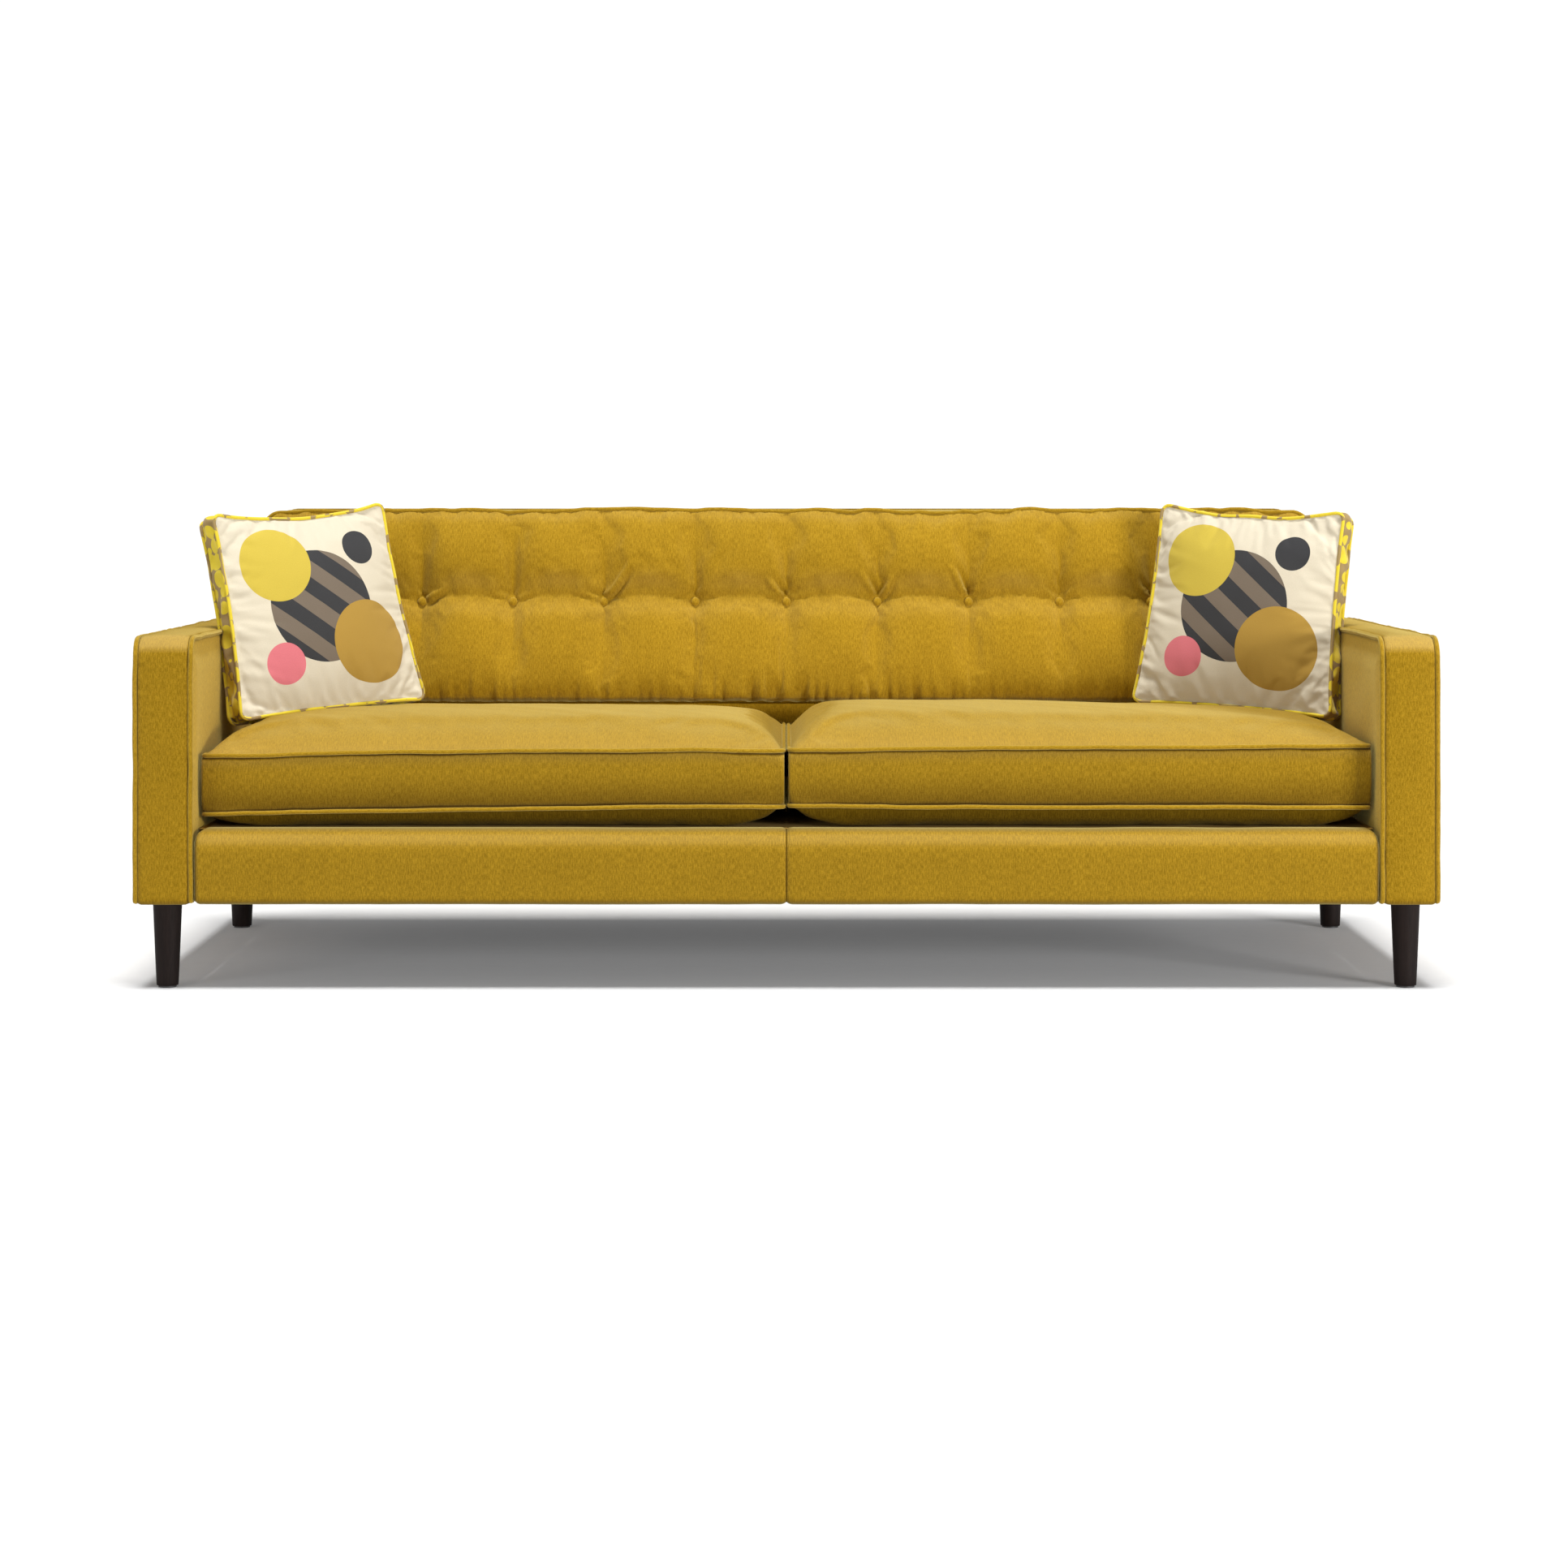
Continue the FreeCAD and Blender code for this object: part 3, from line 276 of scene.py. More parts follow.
def resample(path, step, closed=False):
    """Points along a polyline at an even distance."""
    path = np.asarray(path, float)
    if closed:
        path = np.vstack([path, path[:1]])
    lengths = run_along(path)
    count = max(4, int(round(lengths[-1] / step)))
    at = np.linspace(0, lengths[-1], count + 1)
    if closed:
        at = at[:-1]
    return np.stack([np.interp(at, lengths, column) for column in path.T], 1)


def swell(piece, pressure, slack, cap, held, frames=20, stiffness=12.0, cut=None):
    """Let the cloth of a piece settle under pressure; no point moves further than cap.

    held is how firmly each point is pinned, and cut the shape that the cloth was cut to."""
    start = coordinates(piece)
    twin = piece.copy()
    twin.data = piece.data.copy()
    scene.collection.objects.link(twin)
    cloth_maker = twin.modifiers.new("cloth", "CLOTH")
    settings = cloth_maker.settings
    if cut is not None:
        twin.shape_key_add(name="start")
        flat = twin.shape_key_add(name="cut")
        flat.data.foreach_set("co", np.asarray(cut, float).ravel())
        settings.rest_shape_key = flat
    settings.quality = 5
    settings.mass = 0.25
    settings.tension_stiffness = settings.compression_stiffness = stiffness
    settings.shear_stiffness = stiffness / 3
    settings.bending_stiffness = 0.25
    settings.use_pressure = True
    settings.uniform_pressure_force = pressure
    settings.shrink_min = -slack
    settings.effector_weights.gravity = 0
    cloth_maker.collision_settings.use_collision = False
    group = twin.vertex_groups.new(name="held")
    held = np.round(held, 2)
    for level in np.unique(held[held > 0]):
        group.add([int(n) for n in np.nonzero(held == level)[0]], float(level), "REPLACE")
    settings.vertex_group_mass = "held"
    cloth_maker.point_cache.frame_start = 1
    cloth_maker.point_cache.frame_end = frames
    for number in range(1, frames + 1):
        scene.frame_set(number)
    settled = twin.evaluated_get(bpy.context.evaluated_depsgraph_get())
    co = np.zeros(start.size)
    settled.data.vertices.foreach_get("co", co)
    move = co.reshape(-1, 3) - start
    far = np.linalg.norm(move, axis=1)
    share = np.where(far > 1e-9, cap * np.tanh(far / cap) / np.maximum(far, 1e-9), 1.0)
    bpy.data.objects.remove(twin)
    scene.frame_set(1)
    set_coordinates(piece, start + move * share[:, None])


# ---- materials -----------------------------------------------------------------------------

def new_material(name, **constants):
    """A material with its tree and shader; each constant is set on the shader's own socket."""
    material = bpy.data.materials.new(name)
    material.use_nodes = True
    shader = material.node_tree.nodes["Principled BSDF"]
    for socket, value in constants.items():
        shader.inputs[socket.replace("_", " ")].default_value = value
    return material, material.node_tree, shader


def node(tree, kind, **values):
    made = tree.nodes.new(kind)
    for key, value in values.items():
        setattr(made, key, value)
    return made


def coordinate(tree, kind="UV"):
    return node(tree, "ShaderNodeTexCoord").outputs[kind]


def scaled(tree, vector, scale):
    mapping = node(tree, "ShaderNodeMapping")
    mapping.inputs["Scale"].default_value = scale
    tree.links.new(vector, mapping.inputs["Vector"])
    return mapping.outputs[0]


def noise(tree, vector, scale, detail=3.0, stretch=(1, 1, 1), rough=0.55):
    """Noise over `vector`, in cells per metre, stretched along the axes."""
    vector = scaled(tree, vector, [scale * s for s in stretch])
    made = node(tree, "ShaderNodeTexNoise")
    made.inputs["Scale"].default_value = 1.0
    made.inputs["Detail"].default_value = detail
    made.inputs["Roughness"].default_value = rough
    tree.links.new(vector, made.inputs["Vector"])
    return made.outputs[0]


def ramp(tree, fac, stops):
    made = node(tree, "ShaderNodeValToRGB")
    elements = made.color_ramp.elements
    while len(elements) < len(stops):
        elements.new(0.5)
    for element, (place, colour) in zip(elements, stops):
        element.position = place
        element.color = tuple(colour) + (1.0,)
    tree.links.new(fac, made.inputs[0])
    return made.outputs[0]


def mix(tree, fac, one, two, blend="MIX"):
    """Mix two colours; each may be a socket or a plain colour."""
    made = node(tree, "ShaderNodeMix", data_type="RGBA", blend_type=blend)
    for socket, value in ((made.inputs[0], fac), (made.inputs[6], one), (made.inputs[7], two)):
        if hasattr(value, "links"):
            tree.links.new(value, socket)
        elif isinstance(value, (int, float)):
            socket.default_value = value
        else:
            socket.default_value = tuple(value) + (1.0,)
    return made.outputs[2]


def maths(tree, operation, *values):
    made = node(tree, "ShaderNodeMath", operation=operation)
    for socket, value in zip(made.inputs, values):
        if hasattr(value, "links"):
            tree.links.new(value, socket)
        else:
            socket.default_value = value
    return made.outputs[0]


def bump(tree, shader, height, distance, strength):
    made = node(tree, "ShaderNodeBump")
    made.inputs["Strength"].default_value = strength
    made.inputs["Distance"].default_value = distance
    tree.links.new(height, made.inputs["Height"])
    tree.links.new(made.outputs[0], shader.inputs["Normal"])


# colours of the painted highlight and of the painted seam shadow, and the sheen's tint
PAINTED_HIGHLIGHT, SEAM_SHADOW, SHEEN_TINT = (0.56, 0.40, 0.14), (0.035, 0.015, 0.002), (1.0, 0.88, 0.36, 1)


def velvet(name, dark, light, uv=True, cells=1.0, sheen=0.46, spread=0.085):
    """Short-pile cloth: fine upright streaks, a mottled nap and a strong sheen.

    A larger spread makes the nap calmer."""
    material, tree, shader = new_material(
        name, Specular_IOR_Level=0.0, Sheen_Weight=sheen, Sheen_Roughness=0.50, Sheen_Tint=SHEEN_TINT)
    vector = coordinate(tree, "UV" if uv else "Object")
    streaks = noise(tree, vector, 520 * cells, 2.0, (1.0, 0.20, 1.0 if uv else 0.20), 0.6)
    grain = noise(tree, vector, 430 * cells, 3.0, (1, 1, 1), 0.7)
    blotches = noise(tree, vector, 38, 3.0, (1, 0.7, 1), 0.55)
    patches = noise(tree, vector, 7, 3.0, (1, 0.7, 1), 0.5)
    nap = mix(tree, 0.42, streaks, grain)
    base = ramp(tree, nap, ((0.5 - spread, dark), (0.5 + spread, light)))
    ribs = noise(tree, vector, 110, 2.0, (1, 0.06, 1 if uv else 0.06), 0.5)
    cloudy = ramp(tree, mix(tree, 0.45, mix(tree, 0.4, patches, blotches), ribs),
                  ((0.36, (0.93, 0.92, 0.90)), (0.64, (1.06, 1.06, 1.08))))
    lit = mix(tree, 1.0, base, cloudy, "MULTIPLY")
    # the point attribute paints shade and highlight into the colour: above 0 it darkens it towards the
    # painted seam shadow, below 0 it lightens it towards the painted highlight
    painted_shade_and_highlight = node(tree, "ShaderNodeAttribute", attribute_name="painted_shade_and_highlight").outputs["Fac"]
    painted_highlight_share = maths(tree, "MULTIPLY", maths(tree, "MINIMUM", painted_shade_and_highlight, 0.0), -0.30)
    shaded = maths(tree, "MULTIPLY", maths(tree, "MAXIMUM", painted_shade_and_highlight, 0.0), 0.85)
    tree.links.new(mix(tree, shaded, mix(tree, painted_highlight_share, lit, PAINTED_HIGHLIGHT), SEAM_SHADOW),
                   shader.inputs["Base Color"])
    rough = ramp(tree, grain, ((0.3, (0.78,) * 3), (0.7, (0.92,) * 3)))
    tree.links.new(rough, shader.inputs["Roughness"])
    bump(tree, shader, nap, 0.0009, 0.6)
    return material


def woven_print(name):
    """Cream cotton with a plain composition of discs and slanted bars, on face coordinates."""
    material, tree, shader = new_material(
        name, Roughness=0.86, Specular_IOR_Level=0.2, Sheen_Weight=0.12, Sheen_Roughness=0.5)
    vector = coordinate(tree)
    split = node(tree, "ShaderNodeSeparateXYZ")
    tree.links.new(vector, split.inputs[0])
    across, up = split.outputs[0], split.outputs[1]
    bar_pitch, thread_turns = 0.058, 5200.0

    def plus(one, two):
        return maths(tree, "ADD", one, two)

    def times(one, two):
        return maths(tree, "MULTIPLY", one, two)

    def disc(x, y, radius):
        """1 inside a circle."""
        dx, dy = maths(tree, "SUBTRACT", across, x), maths(tree, "SUBTRACT", up, y)
        return maths(tree, "LESS_THAN", plus(times(dx, dx), times(dy, dy)), radius ** 2)

    cream, mustard, ochre = (0.58, 0.52, 0.40), (0.49, 0.37, 0.045), (0.35, 0.21, 0.034)
    charcoal, taupe, pink = (0.030, 0.030, 0.032), (0.15, 0.117, 0.085), (0.60, 0.155, 0.18)
    slant = plus(times(across, 0.62), times(up, 0.78))
    bar = maths(tree, "FRACT", maths(tree, "DIVIDE", slant, bar_pitch))
    colour, stripes = cream, mix(tree, maths(tree, "LESS_THAN", bar, 0.5), taupe, charcoal)
    for x, y, radius, tone in (
            (-0.005, 0.0, 0.105, stripes), (-0.085, 0.085, 0.072, mustard), (0.085, -0.075, 0.078, ochre),
            (-0.095, -0.1, 0.038, pink), (0.1, 0.105, 0.034, charcoal)):
        colour = mix(tree, disc(x, y, radius), colour, tone)

    threads = times(*(maths(tree, "SINE", times(way, thread_turns)) for way in (across, up)))
    slub = noise(tree, vector, 500, 2.0)
    shade = ramp(tree, plus(times(threads, 0.15), slub),
                 ((0.2, (0.93, 0.93, 0.92)), (0.8, (1.03, 1.03, 1.03))))
    tree.links.new(mix(tree, 1.0, colour, shade, "MULTIPLY"), shader.inputs["Base Color"])
    bump(tree, shader, plus(times(threads, 0.5), slub), 0.0004, 0.5)
    return material


def dotted_trim(name, cell):
    """Yellow cotton with rounded taupe patches."""
    material, tree, shader = new_material(name, Roughness=0.8, Specular_IOR_Level=0.2, Sheen_Weight=0.15)
    vector = coordinate(tree)
    cells = node(tree, "ShaderNodeTexVoronoi", feature="F1")
    cells.inputs["Scale"].default_value = 1.0
    cells.inputs["Randomness"].default_value = 0.55
    tree.links.new(scaled(tree, vector, (1 / cell, 1 / cell, 1)), cells.inputs["Vector"])
    between = maths(tree, "GREATER_THAN", cells.outputs["Distance"], 0.56)
    colour = mix(tree, between, (0.62, 0.48, 0.026), (0.27, 0.185, 0.07))
    slub = noise(tree, vector, 700, 2.0)
    shade = ramp(tree, slub, ((0.25, (0.9, 0.9, 0.88)), (0.75, (1.04, 1.04, 1.04))))
    tree.links.new(mix(tree, 1.0, colour, shade, "MULTIPLY"), shader.inputs["Base Color"])
    bump(tree, shader, slub, 0.0004, 0.5)
    return material


def wood(name, dark, light, gloss, grain_axis=2):
    """Straight-grained wood, its grain along one axis of the object."""
    material, tree, shader = new_material(name, Specular_IOR_Level=0.14)
    vector = coordinate(tree, "Object")
    stretch = [1.0, 1.0, 1.0]
    stretch[grain_axis] = 0.05
    fibres = noise(tree, vector, 700, 5.0, stretch, 0.6)
    rings = noise(tree, vector, 90, 3.0, stretch, 0.5)
    figure = mix(tree, 0.5, fibres, rings)
    tree.links.new(ramp(tree, figure, ((0.3, dark), (0.7, light))), shader.inputs["Base Color"])
    rough = ramp(tree, fibres, ((0.2, (gloss + 0.12,) * 3), (0.8, (gloss,) * 3)))
    tree.links.new(rough, shader.inputs["Roughness"])
    bump(tree, shader, fibres, 0.0003, 0.4)
    return material


def grainy(name, dark, light, rough, metal=0.0, scale=400.0, depth=0.0003, stretch=(1, 1, 1)):
    """Metal, plastic, foam or plain cloth with a fine grain."""
    material, tree, shader = new_material(name, Metallic=metal)
    vector = coordinate(tree, "Object")
    grain = noise(tree, vector, scale, 4.0, stretch)
    wear = noise(tree, vector, 25, 3.0)
    shade = mix(tree, 0.4, grain, wear)
    tree.links.new(ramp(tree, shade, ((0.3, dark), (0.7, light))), shader.inputs["Base Color"])
    tree.links.new(ramp(tree, wear, ((0.3, (rough - 0.06,) * 3), (0.7, (rough + 0.06,) * 3))),
                   shader.inputs["Roughness"])
    bump(tree, shader, grain, depth, 0.4)
    return material


VELVET_DARK, VELVET_LIGHT = (0.180, 0.099, 0.003), (0.286, 0.166, 0.009)
# two tones, roughness, metal, grain size
BLACK_CLOTH = ((0.012, 0.012, 0.013), (0.035, 0.035, 0.037), 0.85, 0.0, 900)
cloth = velvet("ochre_velvet", VELVET_DARK, VELVET_LIGHT)


def painted_light_tones(share):
    """The velvet's two tones, made lighter or darker: copies painted lighter where the cloth is lit more and
    darker where it lies in shade.
    """
    return tuple(c * share for c in VELVET_DARK), tuple(c * share for c in VELVET_LIGHT)


# copies of the velvet painted lighter where the cloth is lit more (back, buttons, seat tops, inner arms) and
# darker as painted shade (seam, undersides); the band's copy differs only in sheen
lit_back_velvet = velvet("ochre_velvet_back_lit", *painted_light_tones(1.24), spread=0.115)
lit_seat_top_velvet = velvet("ochre_velvet_seat_top_lit", *painted_light_tones(1.07), sheen=0.38, spread=0.135)
band_velvet = velvet("ochre_velvet_band", *painted_light_tones(1.0), sheen=0.31)
seam_shadow_velvet = velvet("ochre_velvet_seam_shadow", *painted_light_tones(0.25), sheen=0.0)
lit_inner_velvet = velvet("ochre_velvet_inner_arm_lit", *painted_light_tones(1.65))
shadowed_under_velvet = velvet("ochre_velvet_underside_shadow", *painted_light_tones(0.42), sheen=0.05)
cord_cloth = velvet("ochre_piping", (0.21, 0.118, 0.004), (0.32, 0.19, 0.012), cells=1.3)
print_cloth = woven_print("geometric_print")
trim_cloth = dotted_trim("dotted_gusset", 0.03)
cord_trim = dotted_trim("dotted_piping", 0.045)
leg_wood = wood("dark_leg_wood", (0.0036, 0.0018, 0.0014), (0.0125, 0.0062, 0.0046), 0.6)


# ---- camera, floor and light ---------------------------------------------------------------

PHOTO_SIDE = 1932
EYE_SHIFT, EYE_HEIGHT, EYE_DISTANCE = -0.0043, 0.8724, 5.6
FOCAL_PX, HORIZON_ROW, SENSOR = 3927.3, 608, 36
FLOOR_REACH, FLOOR_GLOW = 14, 0.07
HORIZON_LIGHT, ZENITH_LIGHT = 1.06, 0.28
OVERHEAD_POWER, OVERHEAD_WIDTH, OVERHEAD_TILT = 4.3, 17, 6
# name, place, power
LIGHTS = (("key", (4.6, -4.6, 1.15), 300), ("fill", (-3.6, -4.0, 1.05), 52))
LIGHT_TARGET, LIGHT_SIZE = (0, 0, 0.5), (2.0, 1.0)


def studio():
    camera = bpy.data.cameras.new("camera")
    eye = placed("camera", camera)
    eye.location = (EYE_SHIFT, cad_low.y - EYE_DISTANCE, EYE_HEIGHT)
    eye.rotation_euler = (math.radians(90), 0, 0)
    camera.sensor_width = SENSOR
    camera.lens = SENSOR * FOCAL_PX / PHOTO_SIDE
    camera.shift_y = (HORIZON_ROW - PHOTO_SIDE / 2) / PHOTO_SIDE
    camera.clip_end = 60
    scene.camera = eye

    floor = bpy.data.meshes.new("floor")
    corners = ((-1, -1), (1, -1), (1, 1), (-1, 1))
    floor.from_pydata([(x * FLOOR_REACH, y * FLOOR_REACH, 0) for x, y in corners], [], [(0, 1, 2, 3)])
    ground = placed("floor", floor)
    # a faint glow of its own, as on a light table, keeps the shadow under the part grey
    material, tree, shader = new_material(
        "pale_floor", Roughness=0.9, Specular_IOR_Level=0.0,
        Emission_Color=(1, 1, 1, 1), Emission_Strength=FLOOR_GLOW)
    speckle = noise(tree, coordinate(tree, "Object"), 30, 2.0)
    tree.links.new(ramp(tree, speckle, ((0.0, (0.57,) * 3), (1.0, (0.60,) * 3))), shader.inputs["Base Color"])
    paint(ground, material)

    world = bpy.data.worlds.new("studio")
    world.use_nodes = True
    tree = world.node_tree
    background = tree.nodes["Background"]
    split = node(tree, "ShaderNodeSeparateXYZ")
    tree.links.new(coordinate(tree, "Generated"), split.inputs[0])
    # white round the horizon, dimmer overhead
    sky = ramp(tree, split.outputs[2], ((0.16, (HORIZON_LIGHT,) * 3), (0.28, (ZENITH_LIGHT,) * 3)))
    tree.links.new(sky, background.inputs[0])
    background.inputs[1].default_value = 1.0
    scene.world = world

    sun = bpy.data.lights.new("overhead", "SUN")
    sun.energy, sun.angle = OVERHEAD_POWER, math.radians(OVERHEAD_WIDTH)
    placed("overhead", sun).rotation_euler = (math.radians(OVERHEAD_TILT), 0, 0)
    for name, place, power in LIGHTS:
        lamp = bpy.data.lights.new(name, "AREA")
        lamp.shape = "RECTANGLE"
        lamp.size, lamp.size_y = LIGHT_SIZE
        lamp.energy = power
        light = placed(name, lamp)
        light.location = place
        aim = Vector(LIGHT_TARGET) - Vector(place)
        light.rotation_euler = aim.to_track_quat("-Z", "Y").to_euler()
    scene.view_settings.view_transform = "Standard"


# ---- legs ----------------------------------------------------------------------------------

LEG_TAPER, FOOT_EDGE, HARD_EDGE = 0.757, 0.0016, 40


def turned(name, profile, centre, material, sides=48):
    """A lathe piece: profile is a list of (radius, height)."""
    profile = np.array(profile)
    angle = 2 * math.pi * (np.arange(sides + 1) % sides) / sides
    places = grid_of(centre[0] + profile[:, :1] * np.cos(angle), centre[1] + profile[:, :1] * np.sin(angle),
                     centre[2] + profile[:, 1:])
    uv = grid_of(np.linspace(0, 1, sides + 1)[None, :] * 0.16, profile[:, 1:])
    piece, _ = one_patch(name, places, uv, material, flip=True)
    piece.data.set_sharp_from_angle(angle=math.radians(HARD_EDGE))
    return piece


def legs():
    for end in ("front", "rear"):
        for side_name, _ in SIDES:
            low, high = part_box(f"leg_{end}_{side_name}")
            centre = ((low.x + high.x) / 2, (low.y + high.y) / 2, low.z)
            wide, tall = (high.x - low.x) / 2, high.z - low.z
            foot, soft = wide * LEG_TAPER, FOOT_EDGE
            profile = [(0, 0), (foot - soft, 0), (foot - soft * 0.3, soft * 0.3), (foot, soft)]
            steps = np.linspace(0, 1, 9)[1:]
            profile += [(foot + (wide - foot) * t ** 0.92, soft + (tall - soft) * t) for t in steps]
            profile.append((0, tall))
            piece = turned(f"turned_leg_{end}_{side_name}", profile, centre, leg_wood)
            finish_piece(piece, "frame", [f"leg_{end}_{side_name}"])


# ---- arms ----------------------------------------------------------------------------------

CORD, CLOTH, BEND, SEAM_GAP = 0.0044, 0.0018, 0.036, 0.0006


def hoop_path(half_run, foot, top, bend, tuck, step=0.006):
    """An arm's side outline in (y, z): under the foot, up the front, over and down the rear."""
    small = 0.005
    front = [(-half_run + tuck, foot)]
    front += arc((-half_run + small, foot + small), small, -90, -180, 5)
    front += arc((-half_run + bend, top - bend), bend, 180, 90, 10)
    return resample(front + [(-y, z) for y, z in reversed(front)], step)


def outward(path):
    """Normals of a (y, z) path that runs from the front foot over the top to the rear foot."""
    along = unit(np.gradient(path, axis=0))
    return np.column_stack([-along[:, 1], along[:, 0]])


def seam_shade(distance):
    """How deep in a seam's shadow the cloth is, beside a cord that it runs under."""
    return 1 - ease((distance - CORD - 0.0004) / 0.0015)


def rises(normal):
    """How steeply each (y, z) direction looks up, in degrees, as a column."""
    return np.degrees(np.arcsin(np.clip(normal[:, 1:], -1, 1)))


def flat_cover(reach, foot, top, corner, columns, rows):
    """A grid over a flat cover with round upper corners: across, up, and distance from its edge."""
    across = reach * even(columns, 0.35)
    crest = shoulders(across, reach, top, corner)
    up = foot + (crest - foot) * shares(rows, 0.35)[:, None]
    across = np.broadcast_to(across, up.shape)
    return across, up, np.minimum(crest - up, reach - np.abs(across))


def painted_edge_highlight(normal, start, end, fall):
    """How strong a painted highlight is where a cover rolls over an edge.

    normal holds (y, z) directions; the painted highlight is strongest where they rise by start to end
    degrees."""
    return ease((rises(normal) - start) / 22) * (1 - ease((rises(normal) - end) / fall))


def hem_shade(distance):
    """How dark the cloth is where it turns under, at a distance from its lower edge."""
    return 1 - ease((distance - 0.026) / 0.008)


def arm_band(side_name, side, seed, inner, outer, foot, top, half_run):
    """The band between the two lines of piping, pulled in along both of its seams."""
    path = hoop_path(half_run - 0.0034, foot + 0.0008, top - 0.0034, BEND, 0.03)
    normal = outward(path)
    lengths = run_along(path)[:, None]
    ends = np.minimum(lengths, lengths[-1] - lengths)
    seam = CORD + SEAM_GAP
    edge = np.array([0, 0.0022, 0.0042, 0.0054, 0.0068, 0.009, 0.013, 0.019, 0.027, 0.037])
    wide = outer - inner - 2 * seam
    across = np.concatenate([edge, [wide / 2], wide - edge[::-1]])
    near = np.minimum(across, wide - across)
    across = across + inner + seam
    rise = 0.0028 * ease(near / 0.035) - 0.0050 * decay(near, 0.0060, 3)
    drift = 0.0011 * value_noise(lengths / 0.10, across / 0.04, seed)
    # the cloth puckers a little where the seams turn the lower corners
    pucker = 0.0012 * value_noise(across / 0.006, lengths / 0.05, seed + 3)
    height = (rise + drift) * ease(ends / 0.045) + pucker * decay(ends, 0.035) * decay(near, 0.02)
    places = grid_of(side * across, path[:, :1] + normal[:, :1] * height,
                     np.maximum(path[:, 1:] + normal[:, 1:] * height, foot + 0.0003))
    # painted shade beside the piping and where the band turns under, painted highlight where it rolls over
    # its edges
    shade = np.maximum(seam_shade(near), hem_shade(ends))
    lift = painted_edge_highlight(normal, 13, 66, 30)
    band, _ = one_patch(f"band_cloth_{side_name}", places, grid_of(across, lengths), band_velvet,
                        side < 0, shade - lift * (1 - shade))
    finish_piece(band, "frame", [f"arm_band_{side_name}", f"arm_pad_{side_name}"], CLOTH)


def arm_covers(side_name, side, seed, inner, outer, foot, top, half_run):
    """The outer and inner covers: each one is padded, inside the hoop and tucked in at its edge."""
    seam = CORD + SEAM_GAP
    y, z, near = flat_cover(half_run - seam, foot + 0.0008, top - seam, BEND - CORD, 141, 71)
    for tag, plane, way, pile in (
            ("outer", outer - 0.0052, 1, cloth), ("inner", inner + 0.0050, -1, lit_inner_velvet)):
        puff = 0.0036 * ease(near / 0.06) - 0.0042 * decay(near, 0.006, 3)
        puff = puff - 0.003 * (1 - ease((z - foot) / 0.006))
        puff = puff + 0.0011 * value_noise(y / 0.12, z / 0.09, seed + way)
        # painted shade beside the piping; the inner cover takes a copy of the velvet painted lighter
        cover, _ = one_patch(f"{tag}_cloth_{side_name}", grid_of(side * (plane + way * puff), y, z),
                             grid_of(y, z), pile, side * way > 0, seam_shade(near) * 0.8)
        finish_piece(cover, "frame", [f"arm_cover_{tag}_{side_name}"], CLOTH)


def arm_cords(side_name, side, seed, inner, outer, foot, top, half_run):
    """The two lines of piping, which wander a little along the top."""
    for tag, centre in (("outer", outer - CORD), ("inner", inner + CORD)):
        line = hoop_path(half_run - CORD, foot + CORD - 0.001, top - CORD, BEND - 0.002, 0.02)
        run = run_along(line)
        marks = seed + len(tag) + int(centre * 10)
        wander = (0.0010 * value_noise(run / 0.028, 3.5, marks)
                  + 0.0008 * value_noise(run / 0.09, 5.5, marks) - 0.0008)
        sway = 0.0008 * value_noise(run / 0.05, 8.5, seed + 40)
        points = np.column_stack([side * np.minimum(centre + sway, outer - CORD + 0.0006),
                                  line + outward(line) * wander[:, None]])
        piece = paint(tube(f"arm_cord_{tag}_{side_name}", points, CORD, False, seed), cord_cloth)
        finish_piece(piece, "frame", [f"arm_piping_{side_name}"])


def arm(side_name, side):
    low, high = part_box(f"arm_piping_{side_name}")
    inner, outer = sorted((abs(low.x), abs(high.x)))
    seed = 11 if side > 0 else 5
    for make in (arm_band, arm_covers, arm_cords):
        make(side_name, side, seed, inner, outer, low.z, high.z, high.y)


# ---- front rail cover ----------------------------------------------------------------------

